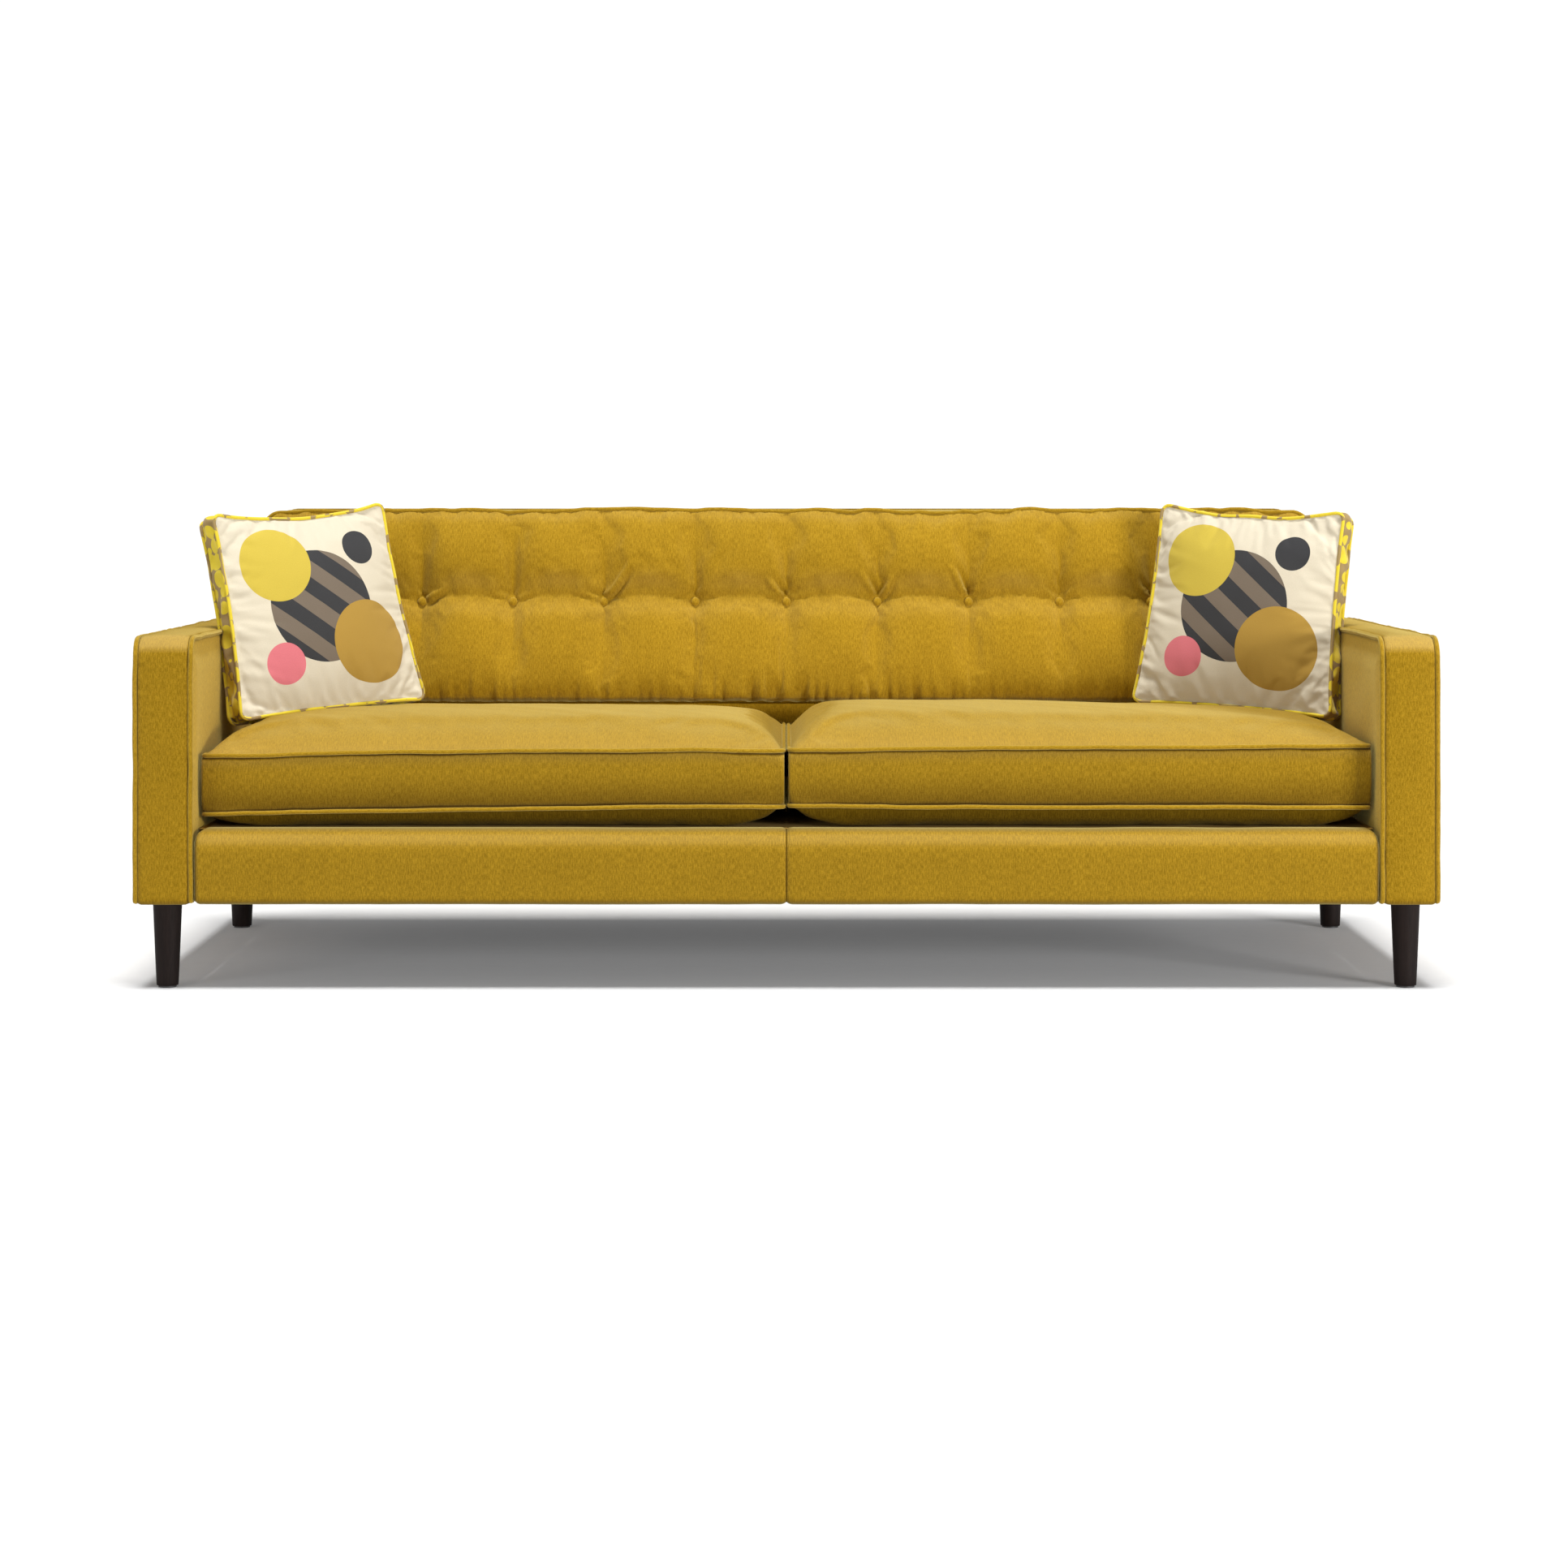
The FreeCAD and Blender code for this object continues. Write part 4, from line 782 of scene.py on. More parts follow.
def front_border(side_name, side):
    low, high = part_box(f"front_border_{side_name}")
    front, rear, foot, top = low.y, high.y, low.z, high.z
    hem = 0.009
    path = [(front + 0.03, foot)]
    path += arc((front + hem, foot + hem), hem, -90, -180, 6)
    path += arc((front + BEND, top - BEND), BEND, 180, 90, 12)
    path = resample(path + [(rear, top)], 0.005)
    normal = outward(path)
    lengths = run_along(path)[:, None]
    inner, outer = sorted((abs(low.x), abs(high.x)))
    x = inner + (outer - inner) * shares(190, 0.5)
    x = np.concatenate([inner + np.array([0, 0.0007, 0.0014]), x[1:]])
    middle, end = x - inner, outer - x
    # pulled into the seam at the middle, rounded off at the arm
    sink = -0.0040 * decay(middle, 0.004, 1.5) - 0.005 * (1 - ease(end / 0.009)) ** 1.6
    drift = 0.0012 * value_noise(x / 0.13, lengths / 0.06, 21 + side)
    height = sink + drift * ease(lengths / 0.05) + 0.0016 * np.sin(math.pi * ease((lengths - 0.03) / 0.13))
    sag = 0.0012 * value_noise(x / 0.05, 0.3, 31 + side)
    z = path[:, 1:] + normal[:, 1:] * height + sag * (1 - ease(lengths / 0.03))
    # the upper corner beside the arm is round in the front view too
    turn = 0.021
    ceiling = top - turn + np.sqrt(turn ** 2 - np.clip(turn - end, 0, turn) ** 2)
    places = grid_of(side * x, path[:, :1] + normal[:, :1] * height, np.minimum(z, ceiling))
    # painted shade beside the arm, in the middle seam, where the cloth turns under and on the top face under
    # the cushion; painted highlight along the rolled top edge
    shade = np.maximum(1 - ease((end - 0.002) / 0.005), 0.8 * (1 - ease(middle / 0.003)))
    shade = np.maximum(shade, hem_shade(lengths))
    shade = np.maximum(shade, 0.75 * ease((rises(normal) - 50) / 32))
    shade = shade - 0.42 * painted_edge_highlight(normal, 9, 42, 16) * (1 - shade)
    piece, numbers = one_patch(f"rail_cloth_{side_name}", places, grid_of(x, lengths), cloth, side < 0, shade)
    # the middle seam takes a dark copy of the velvet as painted shadow
    paint_between(piece, seam_shadow_velvet, numbers[:, middle < 0.002])
    finish_piece(piece, "frame", [f"front_border_{side_name}"], thickness=0.003)


# ---- box cushions --------------------------------------------------------------------------

def rounded_plan(u, v, half_a, half_b, corner):
    """Turn a square grid into a rectangle with round corners."""
    a, b = u * half_a, v * half_b
    over_a = np.clip(np.abs(a) - (half_a - corner), 0, corner) / corner
    over_b = np.clip(np.abs(b) - (half_b - corner), 0, corner) / corner

    def rounded(c, half, over, other):
        bend = over * np.sqrt(1 - other ** 2 / 2) * corner
        return np.sign(c) * (np.minimum(np.abs(c), half - corner) + bend)

    return rounded(a, half_a, over_a, over_b), rounded(b, half_b, over_b, over_a)


def ring_of(grid):
    """The border of a grid, once round."""
    return np.concatenate([grid[:-1, 0], grid[-1, :-1], grid[:0:-1, -1], grid[0, :0:-1]])


def corner_distance(ring, half_a, half_b):
    """How far each point of a cushion's outline is from the nearest corner, along the outline."""
    return np.maximum(half_a - np.abs(ring[:, 0]), half_b - np.abs(ring[:, 1]))


def box_shell(half_a, half_b, half_c, crown_high, crown_low, corner, counts, puff):
    """A cushion in its own axes: two crowned faces joined by a boxing strip.

    puff gives how far the strip bulges at a level between -1 and 1 of each outline point.
    A painted highlight runs along the front of the upper face and the top of the boxing; painted shade
    darkens the boxing's seams and its lower part."""
    u, v = np.meshgrid(even(counts[0]), even(counts[1]), indexing="ij")
    a, b = rounded_plan(u, v, half_a, half_b, corner)
    shell = Shell()
    # a painted highlight along the front of the upper face
    high = shell.patch(np.stack([a, b, half_c + crown_high(a, b)], -1), np.stack([a, b], -1),
                       painted_shade_and_highlight=-0.55 * decay(half_b + b, 0.05))
    low = shell.patch(np.stack([a, b, -half_c - crown_low(a, b)], -1), np.stack([a, b], -1), flip=True)
    ring = ring_of(np.stack([a, b], -1))
    ring = np.vstack([ring, ring[:1]])
    run = run_along(ring)
    away = unit(steep(ring / (half_a, half_b), 8))
    from_seam = np.array([0, 0.0025, 0.0042, 0.0054, 0.0068, 0.009, 0.013, 0.019, 0.027, 0.035])
    from_seam = from_seam[from_seam < half_c * 0.94]
    levels = np.concatenate([from_seam / half_c - 1, [0], 1 - from_seam[::-1] / half_c])
    places = np.stack([
        np.column_stack([ring + away * puff(level, ring, run)[:, None], np.full(len(ring), level * half_c)])
        for level in levels], 1)
    uv = grid_of(run[:, None], levels * half_c)
    # painted shade at the seams and over the lower part of the boxing, painted highlight along its top
    shade, down = seam_shade((1 - np.abs(levels)) * half_c), (1 - levels) / 2
    shade = np.maximum(shade, 0.62 * ease((down - 0.32) / 0.68) ** 1.2)
    shade = shade - 0.35 * (1 - ease(down / 0.28)) * (1 - shade)
    shell.patch(places, uv, flip=True, painted_shade_and_highlight=shade)
    return shell, high, low


def smooth_loop(points, times):
    for _ in range(times):
        points = (np.roll(points, 1, 0) + points * 2 + np.roll(points, -1, 0)) / 4
    return points


def through(ends, s):
    """A smooth value that takes three given values at s = -1, 0 and 1."""
    first, middle, last = ends
    return middle + (last - first) / 2 * s + ((first + last) / 2 - middle) * s * s


# heights of each seat cushion's seams at the arm, in the middle and at the other cushion
SEAM_HEIGHTS = {
    "left": {"upper": (0.4050, 0.4145, 0.4150), "lower": (0.3040, 0.3137, 0.3180)},
    "right": {"upper": (0.4220, 0.4200, 0.4150), "lower": (0.3165, 0.3160, 0.3180)},
}
CREST_HEIGHTS = {"left": 0.4725, "right": 0.4815}
# how the crown climbs from its edges: share and length of the quick climb, length of the slow one
FRONT_CLIMB = (0.6, 0.032, 0.14)
ARM_CLIMB = (0.55, 0.025, 0.12)
MIDDLE_CLIMB = {"left": (0.62, 0.017, 0.11), "right": (0.84, 0.023, 0.10)}


def climb(distance, shape):
    share, quick, slow = shape
    return share * (1 - decay(distance, quick)) + (1 - share) * (1 - decay(distance, slow))


def seat_cushion(side_name, side):
    low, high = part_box(f"seat_cover_{side_name}")
    cord_low, cord_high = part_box(f"seat_piping_{side_name}")
    centre = Vector(((low.x + high.x) / 2, (low.y + high.y) / 2, (cord_low.z + cord_high.z) / 2))
    inset = 0.0038
    half_a, half_b = (high.x - low.x) / 2 - inset, (high.y - low.y) / 2 - inset
    half_c = (cord_high.z - cord_low.z) / 2 - 0.004
    seams, crest = SEAM_HEIGHTS[side_name], CREST_HEIGHTS[side_name]

    def seam(which, a):
        """Height of a seam over the cushion's middle; a runs to +X."""
        return through(seams[which], np.clip(-side * a / half_a, -1, 1)) - centre.z

    def plan(a, b):
        to_arm, to_middle = half_a - side * a, half_a + side * a
        ends = climb(to_arm, ARM_CLIMB) * climb(to_middle, MIDDLE_CLIMB[side_name])
        edges = climb(half_b + b, FRONT_CLIMB) * climb(half_b - b, FRONT_CLIMB)
        return ends * edges / 0.9

    def crown_high(a, b):
        slope = 1 - (0.10 if side > 0 else 0.0) * ease((side * a + half_a) / (2 * half_a))
        rise = (crest - centre.z) * slope - seam("upper", a)
        return rise * plan(a, b) + 0.0010 * value_noise(a / 0.12, b / 0.10, 50 + side) * plan(a, b)

    def crown_low(a, b):
        ends = 1 - decay(half_a - np.abs(a), 0.035)
        edges = 1 - decay(half_b - np.abs(b), 0.011)
        return (seam("lower", a) - (low.z + 0.001 - centre.z)) * ends * edges

    def puff(level, ring, run):
        depth = (1 - abs(level)) * half_c
        bulge = 0.0075 * (1 - level ** 2) ** 0.7 * (1 + 0.35 * level)
        bulge -= 0.0022 * decay(depth, 0.0065, 4)
        folds = 0.0030 * value_noise(run / 0.010, level * 0.8, 58 + side)
        fade = decay(corner_distance(ring, half_a, half_b), 0.022) * (1 - level ** 2)
        soft = 0.0008 * value_noise(run / 0.07, level * 1.2, 54 + side) * (1 - level ** 2)
        return bulge + folds * fade + soft

    shell, top_grid, low_grid = box_shell(
        half_a, half_b, half_c, crown_high, crown_low, 0.009, (120, 66), puff)
    piece = shell.build(f"seat_cloth_{side_name}")
    upper, lower = ring_of(top_grid), ring_of(low_grid)
    held = np.zeros(len(piece.data.vertices))
    held[upper] = held[lower] = 0.9
    swell(piece, pressure=1.0, slack=0.016, cap=0.005, held=held)
    co = coordinates(piece)
    share = np.clip((co[:, 2] / half_c + 1) / 2, 0, 1)
    run = co[:, 0] + 1.3 * co[:, 1]
    wave = 0.0012 * value_noise(run / 0.11, share, 60 + side) + 0.0005 * value_noise(run / 0.03, share, 63)
    co[:, 2] += ((seam("upper", co[:, 0]) - half_c) * share + (seam("lower", co[:, 0]) + half_c) * (1 - share)
                 + wave * np.where(co[:, 2] < -half_c - 0.002, 0.3, 1.0))
    # the upper seam rises a little towards the rear, where the two cushions meet
    rearwards, to_middle = ease((co[:, 1] / half_b + 0.4) / 1.4), half_a + side * co[:, 0]
    co[:, 2] += 0.006 * share * rearwards * decay(to_middle, 0.05)
    co += np.array(centre)
    co[:, 2] = np.maximum(co[:, 2], low.z + 0.0006)
    inner_face, outer_face = sorted((abs(low.x), abs(high.x)))
    co[:, 0] = side * np.clip(side * co[:, 0], inner_face + 0.0002, outer_face - 0.001)
    flatten_at_zip(co, side_name)
    set_coordinates(piece, co)
    paint(piece, cloth)
    # painted shade on the underside, which takes a dark copy of the velvet; the top face takes a copy painted
    # lighter
    paint_between(piece, shadowed_under_velvet, low_grid)
    paint_between(piece, lit_seat_top_velvet, top_grid)
    finish_piece(piece, f"seat_cushion_{side_name}",
                 [f"seat_cover_{side_name}", f"seat_foam_{side_name}"], levels=1)
    seat_cords(side_name, side, co[upper], co[lower], np.array(centre)[:2], (half_a, half_b))


def flatten_at_zip(co, side_name):
    """Lay the rear boxing flat under the zip that is sewn to it."""
    low, high = (np.array(corner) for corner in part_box(f"seat_zip_{side_name}"))
    beside = np.maximum(np.abs(co - (low + high) / 2) - (high - low) / 2, 0)
    flat = (1 - ease(beside[:, 0] / 0.035)) * (1 - ease((beside[:, 2] - 0.007) / 0.012))
    co[:, 1] -= flat * np.maximum(co[:, 1] - low[1] - 0.0002, 0)


def seat_cords(side_name, side, upper, lower, centre, halves):
    """The two lines of piping round a seat cushion, along the outlines of its faces."""
    low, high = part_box(f"seat_cover_{side_name}")
    inner_face, outer_face = sorted((abs(low.x), abs(high.x)))
    for tag, outline, lift in (("upper", upper, 0.001), ("lower", lower, -0.001)):
        path = smooth_loop(resample(outline, 0.007, True), 2)
        out = (path[:, :2] - centre) / halves
        path[:, :2] += unit(steep(out, 10)) * 0.0010
        path[:, 2] += lift
        # the two cushions' piping all but touches between them
        off = side * path[:, 0] - inner_face
        off = np.where(off < 0.010, 0.0010 + 0.0090 * ease((off - 0.0032) / 0.0068), off)
        path[:, 0] = side * np.minimum(inner_face + off, outer_face - CORD)
        line = paint(tube(f"seat_cord_{tag}_{side_name}", path, CORD - 0.0004, True, 70), cord_cloth)
        finish_piece(line, f"seat_cushion_{side_name}", [f"seat_piping_{side_name}"])


# ---- back pad ------------------------------------------------------------------------------

BUTTONS = range(-5, 6)
BUTTON_RADIUS, BACK_CORNER = 0.0095, 0.045
# single folds in the cloth beside some buttons: button, direction in degrees, height, length
BUTTON_FOLDS = (
    (-2, 50, 0.0046, 0.100), (-2, 66, 0.0018, 0.050), (-2, 158, 0.0018, 0.060), (0, 130, 0.0040, 0.070),
    (0, 150, 0.0020, 0.045), (1, 118, 0.0034, 0.070), (1, 52, 0.0034, 0.065), (1, 88, 0.0018, 0.060),
    (2, 116, 0.0040, 0.090), (2, 60, 0.0016, 0.050), (-4, 24, 0.0034, 0.065), (-4, 8, 0.0026, 0.055),
    (-3, 20, 0.0014, 0.045), (-3, 150, 0.0012, 0.040), (4, 125, 0.0024, 0.060), (3, 140, 0.0016, 0.050),
    (1, -62, 0.0014, 0.045), (-1, 128, 0.0012, 0.040), (3, 40, 0.0014, 0.045), (4, 30, 0.0016, 0.050),
)

# the plane of the face and the row of buttons, read from the CAD piping and buttons
back_low, back_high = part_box("back_piping")
knob_low, knob_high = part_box("back_buttons")
HALF_BACK = back_high.x - CORD
FACE_FOOT = Vector((0, back_low.y + CORD, back_low.z + CORD))
FACE_HEAD = Vector((0, back_high.y - CORD, back_high.z - CORD))
FACE_UP = (FACE_HEAD - FACE_FOOT).normalized()
FACE_OUT = Vector((0, -FACE_UP.z, FACE_UP.y))
FACE_TALL = (FACE_HEAD - FACE_FOOT).length
BUTTON_PITCH = (knob_high.x - knob_low.x - 2 * BUTTON_RADIUS) / (len(BUTTONS) - 1)
BUTTON_ROW = ((knob_low.z + knob_high.z) / 2 - FACE_FOOT.z) / FACE_UP.z


def on_face(x, s, out=0.0):
    """Places x across and s up the plane of the piping, standing out from it."""
    x, s, out = (np.asarray(part)[..., None] for part in (x, s, out))
    return np.array(FACE_FOOT) + x * np.array((1.0, 0, 0)) + s * np.array(FACE_UP) + out * np.array(FACE_OUT)


def line_above(x):
    """How far up the face the top seam is at x."""
    return shoulders(x, HALF_BACK, FACE_TALL, BACK_CORNER)


def bays(x):
    """A soft-bottomed wave between 0 at each button and 1."""
    return (np.sqrt(np.sin(math.pi * x / BUTTON_PITCH) ** 2 + 0.013) - 0.114) / 0.893


def roll_crease(x):
    """How far up the face the crease between the two rolls is at x."""
    return BUTTON_ROW + 0.011 * bays(x) ** 1.2


def relief(x, s):
    """Height of the padding over the plane of the piping."""
    bay, crease, top = bays(x), roll_crease(x), line_above(x)
    below = np.clip(s / crease, 0, 1)
    above = np.clip((s - crease) / (top - crease), 0, 1)
    roll_low = np.sin(math.pi * below ** 0.62) ** 0.60
    roll_high = np.sin(math.pi * above ** 1.00) ** 0.85
    off_row = np.abs(s - BUTTON_ROW)
    pillow = 1 - (0.40 - 0.34 * bay ** 0.6) * decay(off_row, 0.12)
    fade = np.where(s < crease, ease(s / crease), ease((top - s) / (top - crease)))
    height = np.where(s < crease, 0.029 * roll_low, 0.021 * roll_high) * pillow
    height = height + (-0.004 + 0.010 * bay ** 0.8) * fade
    # a soft upright valley over and under each button, wider away from it
    nearest = np.round(x / BUTTON_PITCH) * BUTTON_PITCH
    valley = decay(x - nearest, 0.009 + 0.10 * off_row, 2)
    depth = np.where(s > BUTTON_ROW, 0.0105 * decay(off_row, 0.16), 0.0060 * decay(off_row, 0.09))
    height = height - valley * depth * ease(off_row / 0.012)
    # the dimple that the button sits in
    gap = np.hypot(x - nearest, s - BUTTON_ROW)
    flat = decay(gap, 0.0135, 4)
    height = height * (1 - flat) - 0.006 * flat
    return height * ease((HALF_BACK - np.abs(x)) / 0.05)


def top_wave(x, s):
    """How far the cloth is lifted near the top seam, which wanders up and down."""
    wander = (0.0040 * value_noise(x / 0.21 + 0.4, 0.3, 4) + 0.0033 * value_noise(x / 0.06, 0.2, 3)
              + 0.0015 * value_noise(x / 0.022, 0.2, 6))
    return wander * ease((s - FACE_TALL + 0.09) / 0.09)


def gathers(x, s):
    """Gathers over the bottom seam and under the top one, and single folds beside buttons."""
    where = 0.35 + 0.85 * decay(x - 0.03, 0.30, 2) + 0.3 * decay(x + 0.62, 0.12, 2)
    reach = 0.030 + 0.012 * value_noise(x / 0.04, 0.5, 5)
    rows = value_noise(x / 0.0095, s / 0.10, 7) + 0.5 * value_noise(x / 0.021, s / 0.2, 9)
    height = 0.0112 * rows * where * decay(s, reach, 1.2) * ease((s + 0.002) / 0.008)
    down = line_above(x) - s
    puckered = 0.30 + decay(HALF_BACK - np.abs(x), 0.14)
    puckered = puckered * decay(down, 0.020) * ease(down / 0.005)
    height += 0.0036 * value_noise(x / 0.013, s / 0.2, 17) * puckered
    for button, angle, size, length in BUTTON_FOLDS:
        dx, ds = x - button * BUTTON_PITCH, s - BUTTON_ROW
        turn = math.radians(angle)
        along = dx * math.cos(turn) + ds * math.sin(turn)
        aside = -dx * math.sin(turn) + ds * math.cos(turn) - 0.25 * along * (along / length) * 0.3
        wide = 0.0045 + 0.03 * np.clip(along, 0, length)
        ridge = decay(aside, wide, 2) - 0.8 * decay(aside + 1.9 * wide, 1.1 * wide, 2)
        fade = ease((along - 0.007) / 0.015) * (1 - ease((along - length * 0.35) / (length * 0.65)))
        height += 2.1 * size * ridge * fade
    height += 0.0012 * value_noise(x / 0.06, s / 0.05, 23)
    return height


def back_pad():
    """The tufted face, from seam to seam."""
    columns = np.linspace(-HALF_BACK, HALF_BACK, 561)
    s = shares(103, 0.3)[:, None] * line_above(columns)
    x = np.broadcast_to(columns, s.shape)
    over, under = s - roll_crease(x), line_above(x) - s
    border = np.minimum(np.minimum(s, under), HALF_BACK - np.abs(x))
    height = relief(x, s) + gathers(x, s) * ease((HALF_BACK - np.abs(x)) / 0.02)
    height = height - 0.0050 * decay(border, 0.0045, 1.5)
    places = on_face(x, s, height)
    places[..., 2] += top_wave(x, s)
    # painted highlights above and below the crease and under the top seam, painted shade beside the piping;
    # the face takes a copy of the velvet painted lighter
    lift = (0.28 * bays(x) * decay(over - 0.028, 0.018, 2)
            + 0.25 * decay(under - 0.014, 0.012, 2) + 0.20 * decay(over + 0.022, 0.020, 2))
    pad, numbers = one_patch("back_cloth", places, grid_of(x, s), lit_back_velvet,
                             painted_shade_and_highlight=0.6 * seam_shade(border) - lift)
    held = np.zeros(len(pad.data.vertices))
    gap = np.hypot(x - np.round(x / BUTTON_PITCH) * BUTTON_PITCH, s - BUTTON_ROW)
    held[numbers.ravel()] = np.where((border < 0.004) | (gap < 0.010), 1.0,
                                     np.where(np.abs(over) < 0.003, 0.6, 0.0)).ravel()
    swell(pad, pressure=0.8, slack=0.022, cap=0.004, held=held, frames=12)
    finish_piece(pad, "frame", ["back_pad"], thickness=0.003)


def back_cord():
    """The piping all round the face; along the bottom it is drawn in under the pad."""
    outline = [(-HALF_BACK, 0.0), (HALF_BACK, 0.0)]
    outline += arc((HALF_BACK - BACK_CORNER, FACE_TALL - BACK_CORNER), BACK_CORNER, 0, 90, 8)
    outline += [(-x0, s0) for x0, s0 in reversed(outline[2:])]
    x, s = resample(outline, 0.007, True).T
    drawn = 1 - ease(s / 0.02)
    path = on_face(x, s + 0.0020 * drawn, 0.0012 - 0.0050 * drawn)
    path[:, 2] += top_wave(x, s)
    line = paint(tube("back_cord", path, CORD, True, 81), cord_cloth)
    # the lowest part of the cord takes a dark copy of the velvet, as painted shade under the pad
    paint_between(line, shadowed_under_velvet, np.nonzero(coordinates(line)[:, 2] < FACE_FOOT.z + 0.010)[0])
    finish_piece(line, "frame", ["back_piping"])


def covered_buttons():
    """Each button is a low dome that sits in its dimple."""
    profile = ((0.0001, 0.0058), (0.003, 0.0056), (0.006, 0.0046), (0.0082, 0.0028),
               (BUTTON_RADIUS, 0.0004), (0.0093, -0.002), (0.007, -0.004), (0.0001, -0.004))
    radius, out = np.array(profile).T[..., None]
    facets, sunk = 28, 0.0036
    angle = 2 * math.pi * (np.arange(facets + 1) % facets) / facets
    dx, ds = radius * np.cos(angle), radius * np.sin(angle)
    for number in BUTTONS:
        places = on_face(number * BUTTON_PITCH + dx, BUTTON_ROW + ds, out - sunk)
        # the buttons take the back's copy of the velvet, painted lighter
        dome, _ = one_patch(f"covered_button_{number + 6:02d}", places, grid_of(dx, ds), lit_back_velvet)
        finish_piece(dome, "frame", ["back_buttons"], levels=1)


def back_strip():
    """The boxing over the back's ends and top, from the face's piping to the rear."""
    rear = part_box("back_outer_panel")[0].y
    side = HALF_BACK - 0.0005
    ring = [(-side, 0.02)]
    ring += arc((-side + BACK_CORNER, FACE_TALL - 0.0005 - BACK_CORNER), BACK_CORNER, 180, 90, 10)
    x, s = resample(ring + [(-x0, s0) for x0, s0 in reversed(ring)], 0.010).T
    start = on_face(x, s)
    share = shares(31, 0.3)
    places = np.repeat(start[:, None, :], len(share), 1)
    depth = (rear - start[:, 1])[:, None]
    places[:, :, 2] += top_wave(x, s)[:, None] * (1 - ease(share / 0.5))
    places[:, :, 1] = start[:, None, 1] + depth * share
    away = unit(np.stack([-np.gradient(start[:, 2]), np.gradient(start[:, 0])], 1))
    near = np.minimum(share, 1 - share) * depth
    puff = 0.0024 * ease(near / 0.04) - 0.0036 * decay(near, 0.005, 1.5)
    puff = puff + 0.0009 * value_noise(places[:, :, 0] / 0.12, places[:, :, 1] / 0.08, 91)
    places[:, :, 0] += away[:, :1] * puff
    places[:, :, 2] += away[:, 1:] * puff
    strip, _ = one_patch("boxing_cloth", places, grid_of(run_along(start)[:, None], places[:, :, 1]), cloth)
    finish_piece(strip, "frame", ["back_boxing"], CLOTH)


def rear_panel():
    """A taut sheet over the rear of the back, tucked in round its edge."""
    low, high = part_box("back_outer_panel")
    x, z, near = flat_cover(high.x, low.z, high.z, BACK_CORNER, 161, 61)
    near = np.minimum(near, z - low.z + 0.004)
    y = low.y + 0.0016 + 0.0022 * ease(near / 0.08) - 0.003 * decay(near, 0.005, 1.5)
    y = y + 0.0009 * value_noise(x / 0.2, z / 0.15, 93)
    panel, _ = one_patch("rear_cloth", grid_of(x, y, z), grid_of(x, z), cloth, flip=True)
    finish_piece(panel, "frame", ["back_outer_panel"], CLOTH)


# ---- cloths that are stretched over the frame ----------------------------------------------

def stretched(name, cad, axis, lift, material, thickness, seed, cell=0.09, below=False):
    """A sheet stretched over the frame in place of a flat CAD one that faces along an axis."""
    low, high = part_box(cad)
    first, second = (k for k in range(3) if k != axis)
    wide, long = high[first] - low[first], high[second] - low[second]
    u, v = np.meshgrid(shares(121, 0.2), shares(51, 0.2), indexing="ij")
    places = np.zeros(u.shape + (3,))
    places[..., first], places[..., second] = low[first] + wide * u, low[second] + long * v
    level = low[axis] if below or axis == 1 else high[axis]
    near = np.minimum(np.minimum(u, 1 - u) * wide, np.minimum(v, 1 - v) * long)
    wave = value_noise(places[..., first] / cell, places[..., second] / cell, seed)
    places[..., axis] = level + lift * (0.5 + 0.5 * wave) * ease(near / 0.05)
    piece, _ = one_patch(name, places, places[..., (first, second)], material, flip=below)
    finish_piece(piece, "frame", [cad], thickness)


# ---- scatter cushions ----------------------------------------------------------------------

# each one's turn, lean and roll, and where its cloth sits against its CAD solid
SCATTER_TURN = {"left": (39.2, 14.7, 3.3), "right": (-30.0, 10.8, -2.4)}
SCATTER_SHIFT = {"left": (-0.007, 0.0, -0.007), "right": (0.008, 0.0, -0.007)}
# how far its sides pull in, and how much wider it is at its foot
PULL_TOP, PULL_BOTTOM, PULL_SIDE, SPREAD = 0.021, 0.007, 0.010, 0.042


def scatter_axes(side_name):
    """Middle of a scatter cushion and its three directions, read from its CAD solid."""
    co = np.array([v.co for v in frame["nodes"][f"scatter_filling_{side_name}"].data.vertices])
    yaw, lean, roll = (math.radians(a) for a in SCATTER_TURN[side_name])
    turn = Matrix.Rotation(yaw, 3, "Z") @ Matrix.Rotation(-lean, 3, "X") @ Matrix.Rotation(-roll, 3, "Y")
    turn = np.array(turn)
    local = co @ turn
    return turn @ ((local.min(0) + local.max(0)) / 2), turn


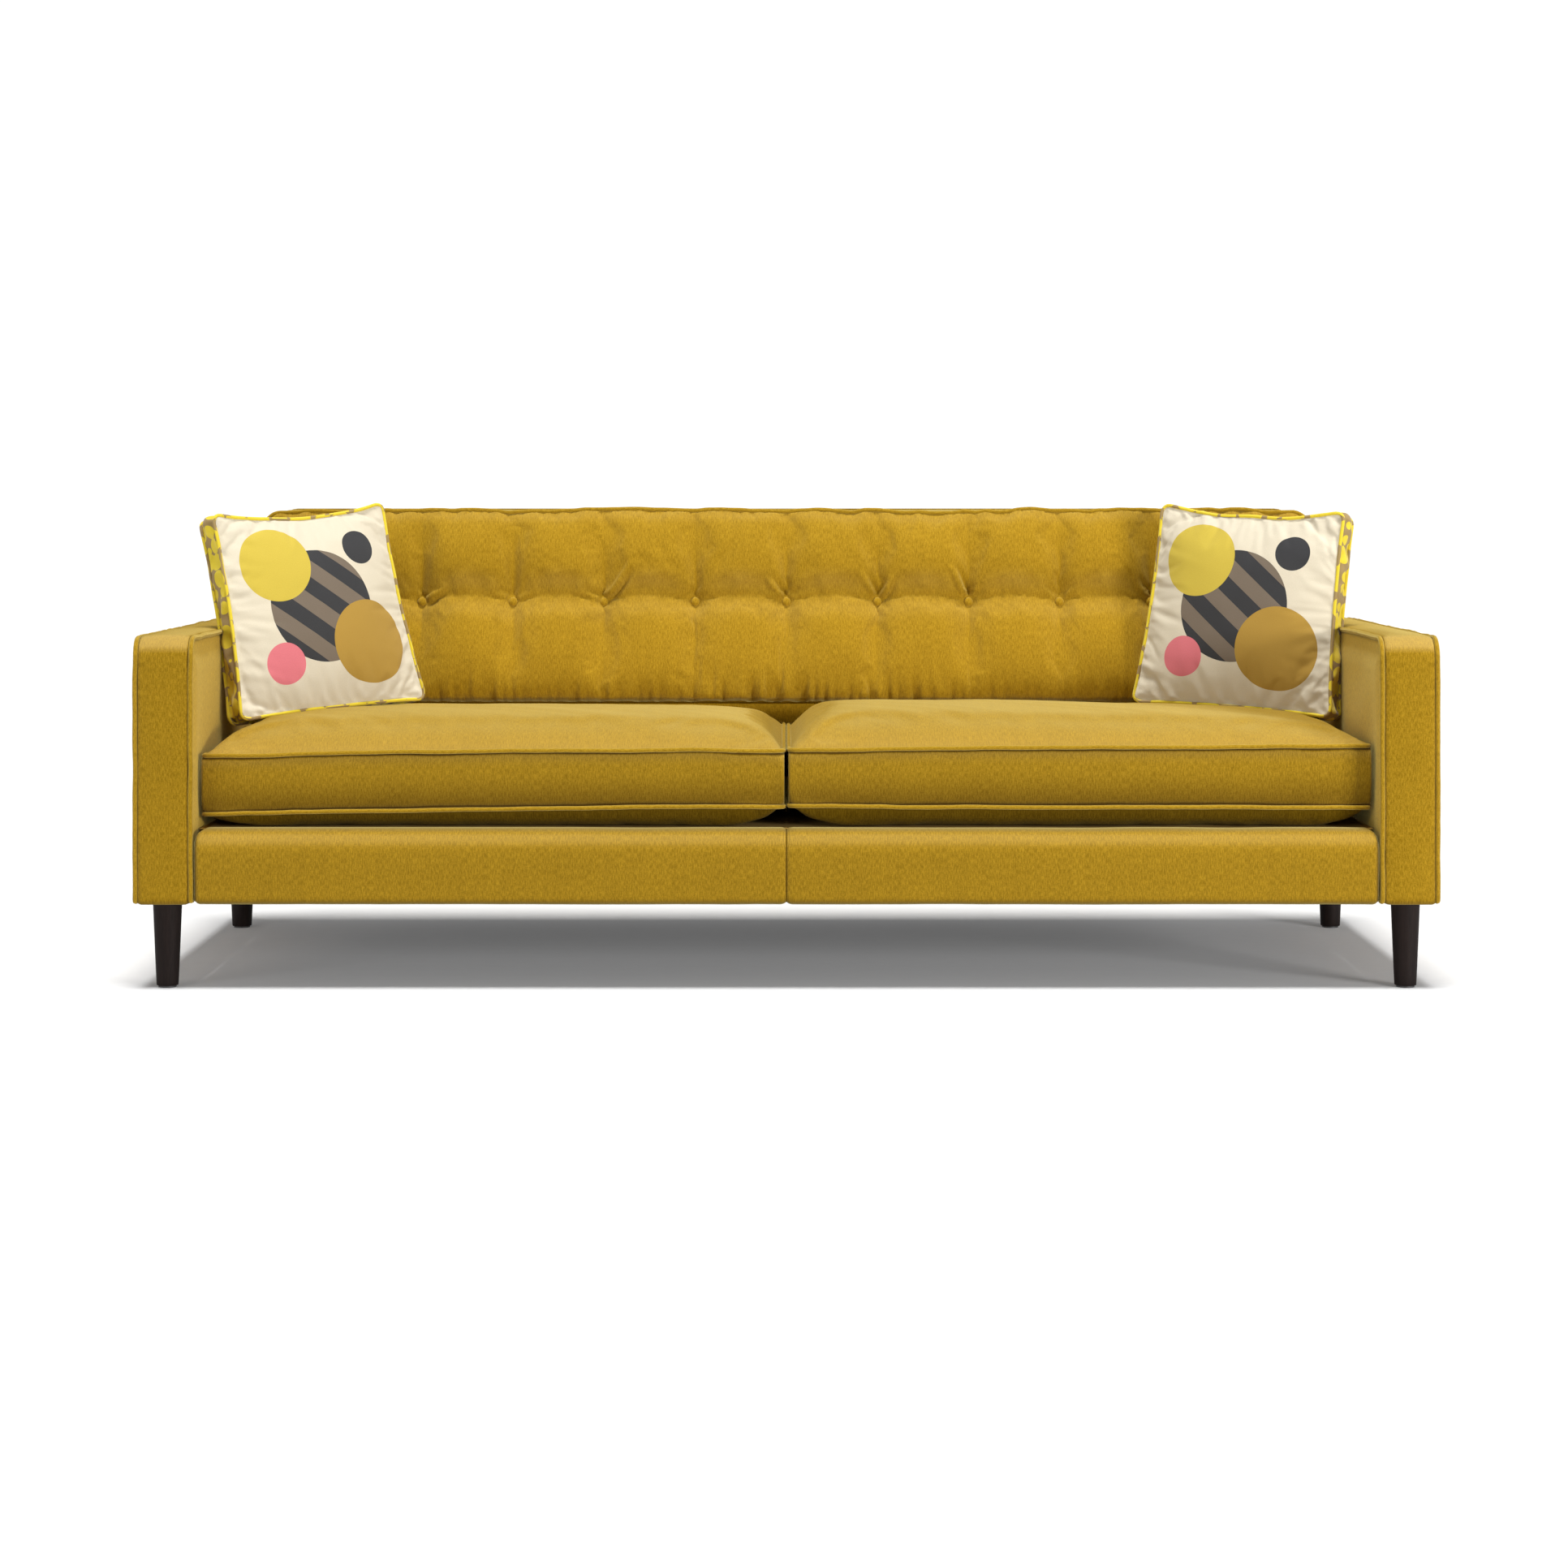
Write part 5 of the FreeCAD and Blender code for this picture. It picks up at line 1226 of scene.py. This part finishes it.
def scatter(side_name, side):
    middle, turn = scatter_axes(side_name)
    middle = middle + np.array(SCATTER_SHIFT[side_name])
    half, half_c = 0.191, 0.0240
    seed = 101 + side

    def crown(a, b):
        s, t = np.clip(np.abs(a) / half, 0, 1), np.clip(np.abs(b) / half, 0, 1)
        return 0.017 * (1 - s ** 2.2) ** 0.8 * (1 - t ** 2.2) ** 0.8

    def puff(level, _, run):
        return 0.0062 * (1 - level ** 2) * (1 + 0.8 * value_noise(run / 0.03, level, seed))

    def creases(along, inwards, slant, seed):
        """Short creases that run in from two opposite seams, deeper on the side below 0."""
        depth = half - np.abs(inwards)
        rows = value_noise(along / 0.013 + inwards / slant, depth / 0.08, seed)
        return rows * decay(depth, 0.034) * ease(depth / 0.012) * np.where(inwards < 0, 1.5, 0.8)

    shell, front_grid, rear_grid = box_shell(half, half, half_c, crown, crown, 0.017, (77, 77), puff)
    # the shell is made lying flat: its own third axis is the way the printed face looks
    piece = shell.build(f"scatter_cloth_{side_name}")
    rings = {"front": ring_of(front_grid), "rear": ring_of(rear_grid)}
    cut = coordinates(piece)
    co = cut.copy()
    s, t = np.clip(co[:, 0] / half, -1, 1), np.clip(co[:, 1] / half, -1, 1)
    edge_noise = 1 + 0.25 * value_noise(s * 2.5, t * 2.5, seed + 2)
    co[:, 0] -= steep(s, 5) * PULL_SIDE * (1 - t ** 2) * edge_noise
    co[:, 1] -= steep(t, 5) * np.where(t > 0, PULL_TOP, PULL_BOTTOM) * (1 - s ** 2) * edge_noise
    # it spreads a little at its foot, where it carries its own weight
    co[:, 0] *= 1.015 - SPREAD * t
    co[:, 1] += np.where(t > 0, 0.003, 0.004) * t
    co[:, 2] += np.sign(co[:, 2]) * 0.0015 * value_noise(co[:, 0] / 0.03, co[:, 1] / 0.05, seed)
    set_coordinates(piece, co)
    held = np.zeros(len(co))
    for ring in rings.values():
        held[ring] = 1.0
    swell(piece, pressure=4.0, slack=0.020, cap=0.022, held=held, frames=24, stiffness=10.0, cut=cut)
    co = coordinates(piece)
    a, b, c = cut.T
    folds = creases(b, a, 0.05, seed + 5) + creases(a, b, 0.04, seed + 6)
    co[:, 2] += np.sign(c) * 0.0042 * folds * (np.abs(c) > half_c + 0.0001)
    # local (a, b, c) to the row frame: a across, b up, c towards the front
    world = co @ np.stack([turn[:, 0], turn[:, 2], -turn[:, 1]]) + middle
    set_coordinates(piece, world)
    paint(piece, trim_cloth)
    paint_between(piece, print_cloth, front_grid)
    finish_piece(piece, f"scatter_cushion_{side_name}",
                 [f"scatter_cover_{side_name}", f"scatter_filling_{side_name}"], levels=1)
    for tag, ring in rings.items():
        path = smooth_loop(resample(world[ring], 0.006, True), 1)
        away = path - middle
        away = unit(away - np.outer(away @ turn[:, 1], turn[:, 1]))
        line = tube(f"scatter_cord_{tag}_{side_name}", path + away * 0.0014, 0.0034, True, 90)
        paint(line, cord_trim)
        finish_piece(line, f"scatter_cushion_{side_name}", [f"scatter_piping_{side_name}"])


# ---- CAD parts that stay -------------------------------------------------------------------

def inner_finishes():
    """Every CAD part that is still shown gets the finish of its slot."""
    finishes = {
        "timber": wood("sawn_timber", (0.42, 0.27, 0.14), (0.62, 0.44, 0.26), 0.7, 0),
        "plywood": wood("upright_timber", (0.42, 0.27, 0.14), (0.60, 0.42, 0.25), 0.7, 2),
        "steel": grainy("zinc_plate", (0.42, 0.43, 0.45), (0.62, 0.62, 0.64), 0.35, 1.0, 300),
        "spring_steel": grainy("oiled_wire", (0.10, 0.10, 0.11), (0.22, 0.22, 0.24), 0.4, 1.0, 500),
        "glide_plastic": grainy("glide_plastic", (0.015, 0.015, 0.015), (0.04, 0.04, 0.04), 0.5),
        "foam": grainy("foam", (0.72, 0.66, 0.48), (0.86, 0.80, 0.62), 0.9, 0.0, 700, 0.0008),
        "dust_cloth": grainy("dust_cloth", *BLACK_CLOTH),
        "webbing": grainy("webbing", (0.06, 0.06, 0.07), (0.16, 0.16, 0.18), 0.8, 0.0, 500, 0.0005,
                          (1, 1, 0.2)),
        "twine": grainy("twine", (0.5, 0.44, 0.32), (0.66, 0.60, 0.46), 0.8, 0.0, 1500),
        "zip_plastic": grainy("zip_tape", (0.24, 0.14, 0.02), (0.36, 0.22, 0.04), 0.7, 0.0, 1200),
        "zip_metal": grainy("zip_metal", (0.30, 0.28, 0.24), (0.48, 0.46, 0.42), 0.32, 1.0, 300),
        "velvet": velvet("ochre_lining", VELVET_DARK, VELVET_LIGHT, uv=False),
    }
    slots = {part["node"]: part["material_slot"] for part in frame["record"]["subparts"]}
    for name, part in frame["nodes"].items():
        if not part.hide_render:
            paint(part, finishes[slots[name]])


studio()
legs()
for side_name, side in SIDES:
    arm(side_name, side)
    front_border(side_name, side)
    seat_cushion(side_name, side)
    scatter(side_name, side)
for make in (back_pad, back_cord, covered_buttons, back_strip, rear_panel):
    make()
lining = grainy("deck_lining", (0.30, 0.17, 0.02), (0.40, 0.24, 0.035), 0.85, 0.0, 900)
mesh_cloth = grainy("black_lining", *BLACK_CLOTH)
stretched("deck_lining", "deck_cloth", 2, -0.0015, lining, 0.0012, 41)
# the lower back panel takes the inner arms' copy of the velvet, painted lighter
stretched("lower_back_cloth", "back_lower_panel", 1, -0.0012, lit_inner_velvet,
          CLOTH, 42, cell=0.12)
stretched("black_underside", "dust_cover", 2, -0.0012, mesh_cloth,
          0.0008, 43, below=True)
inner_finishes()
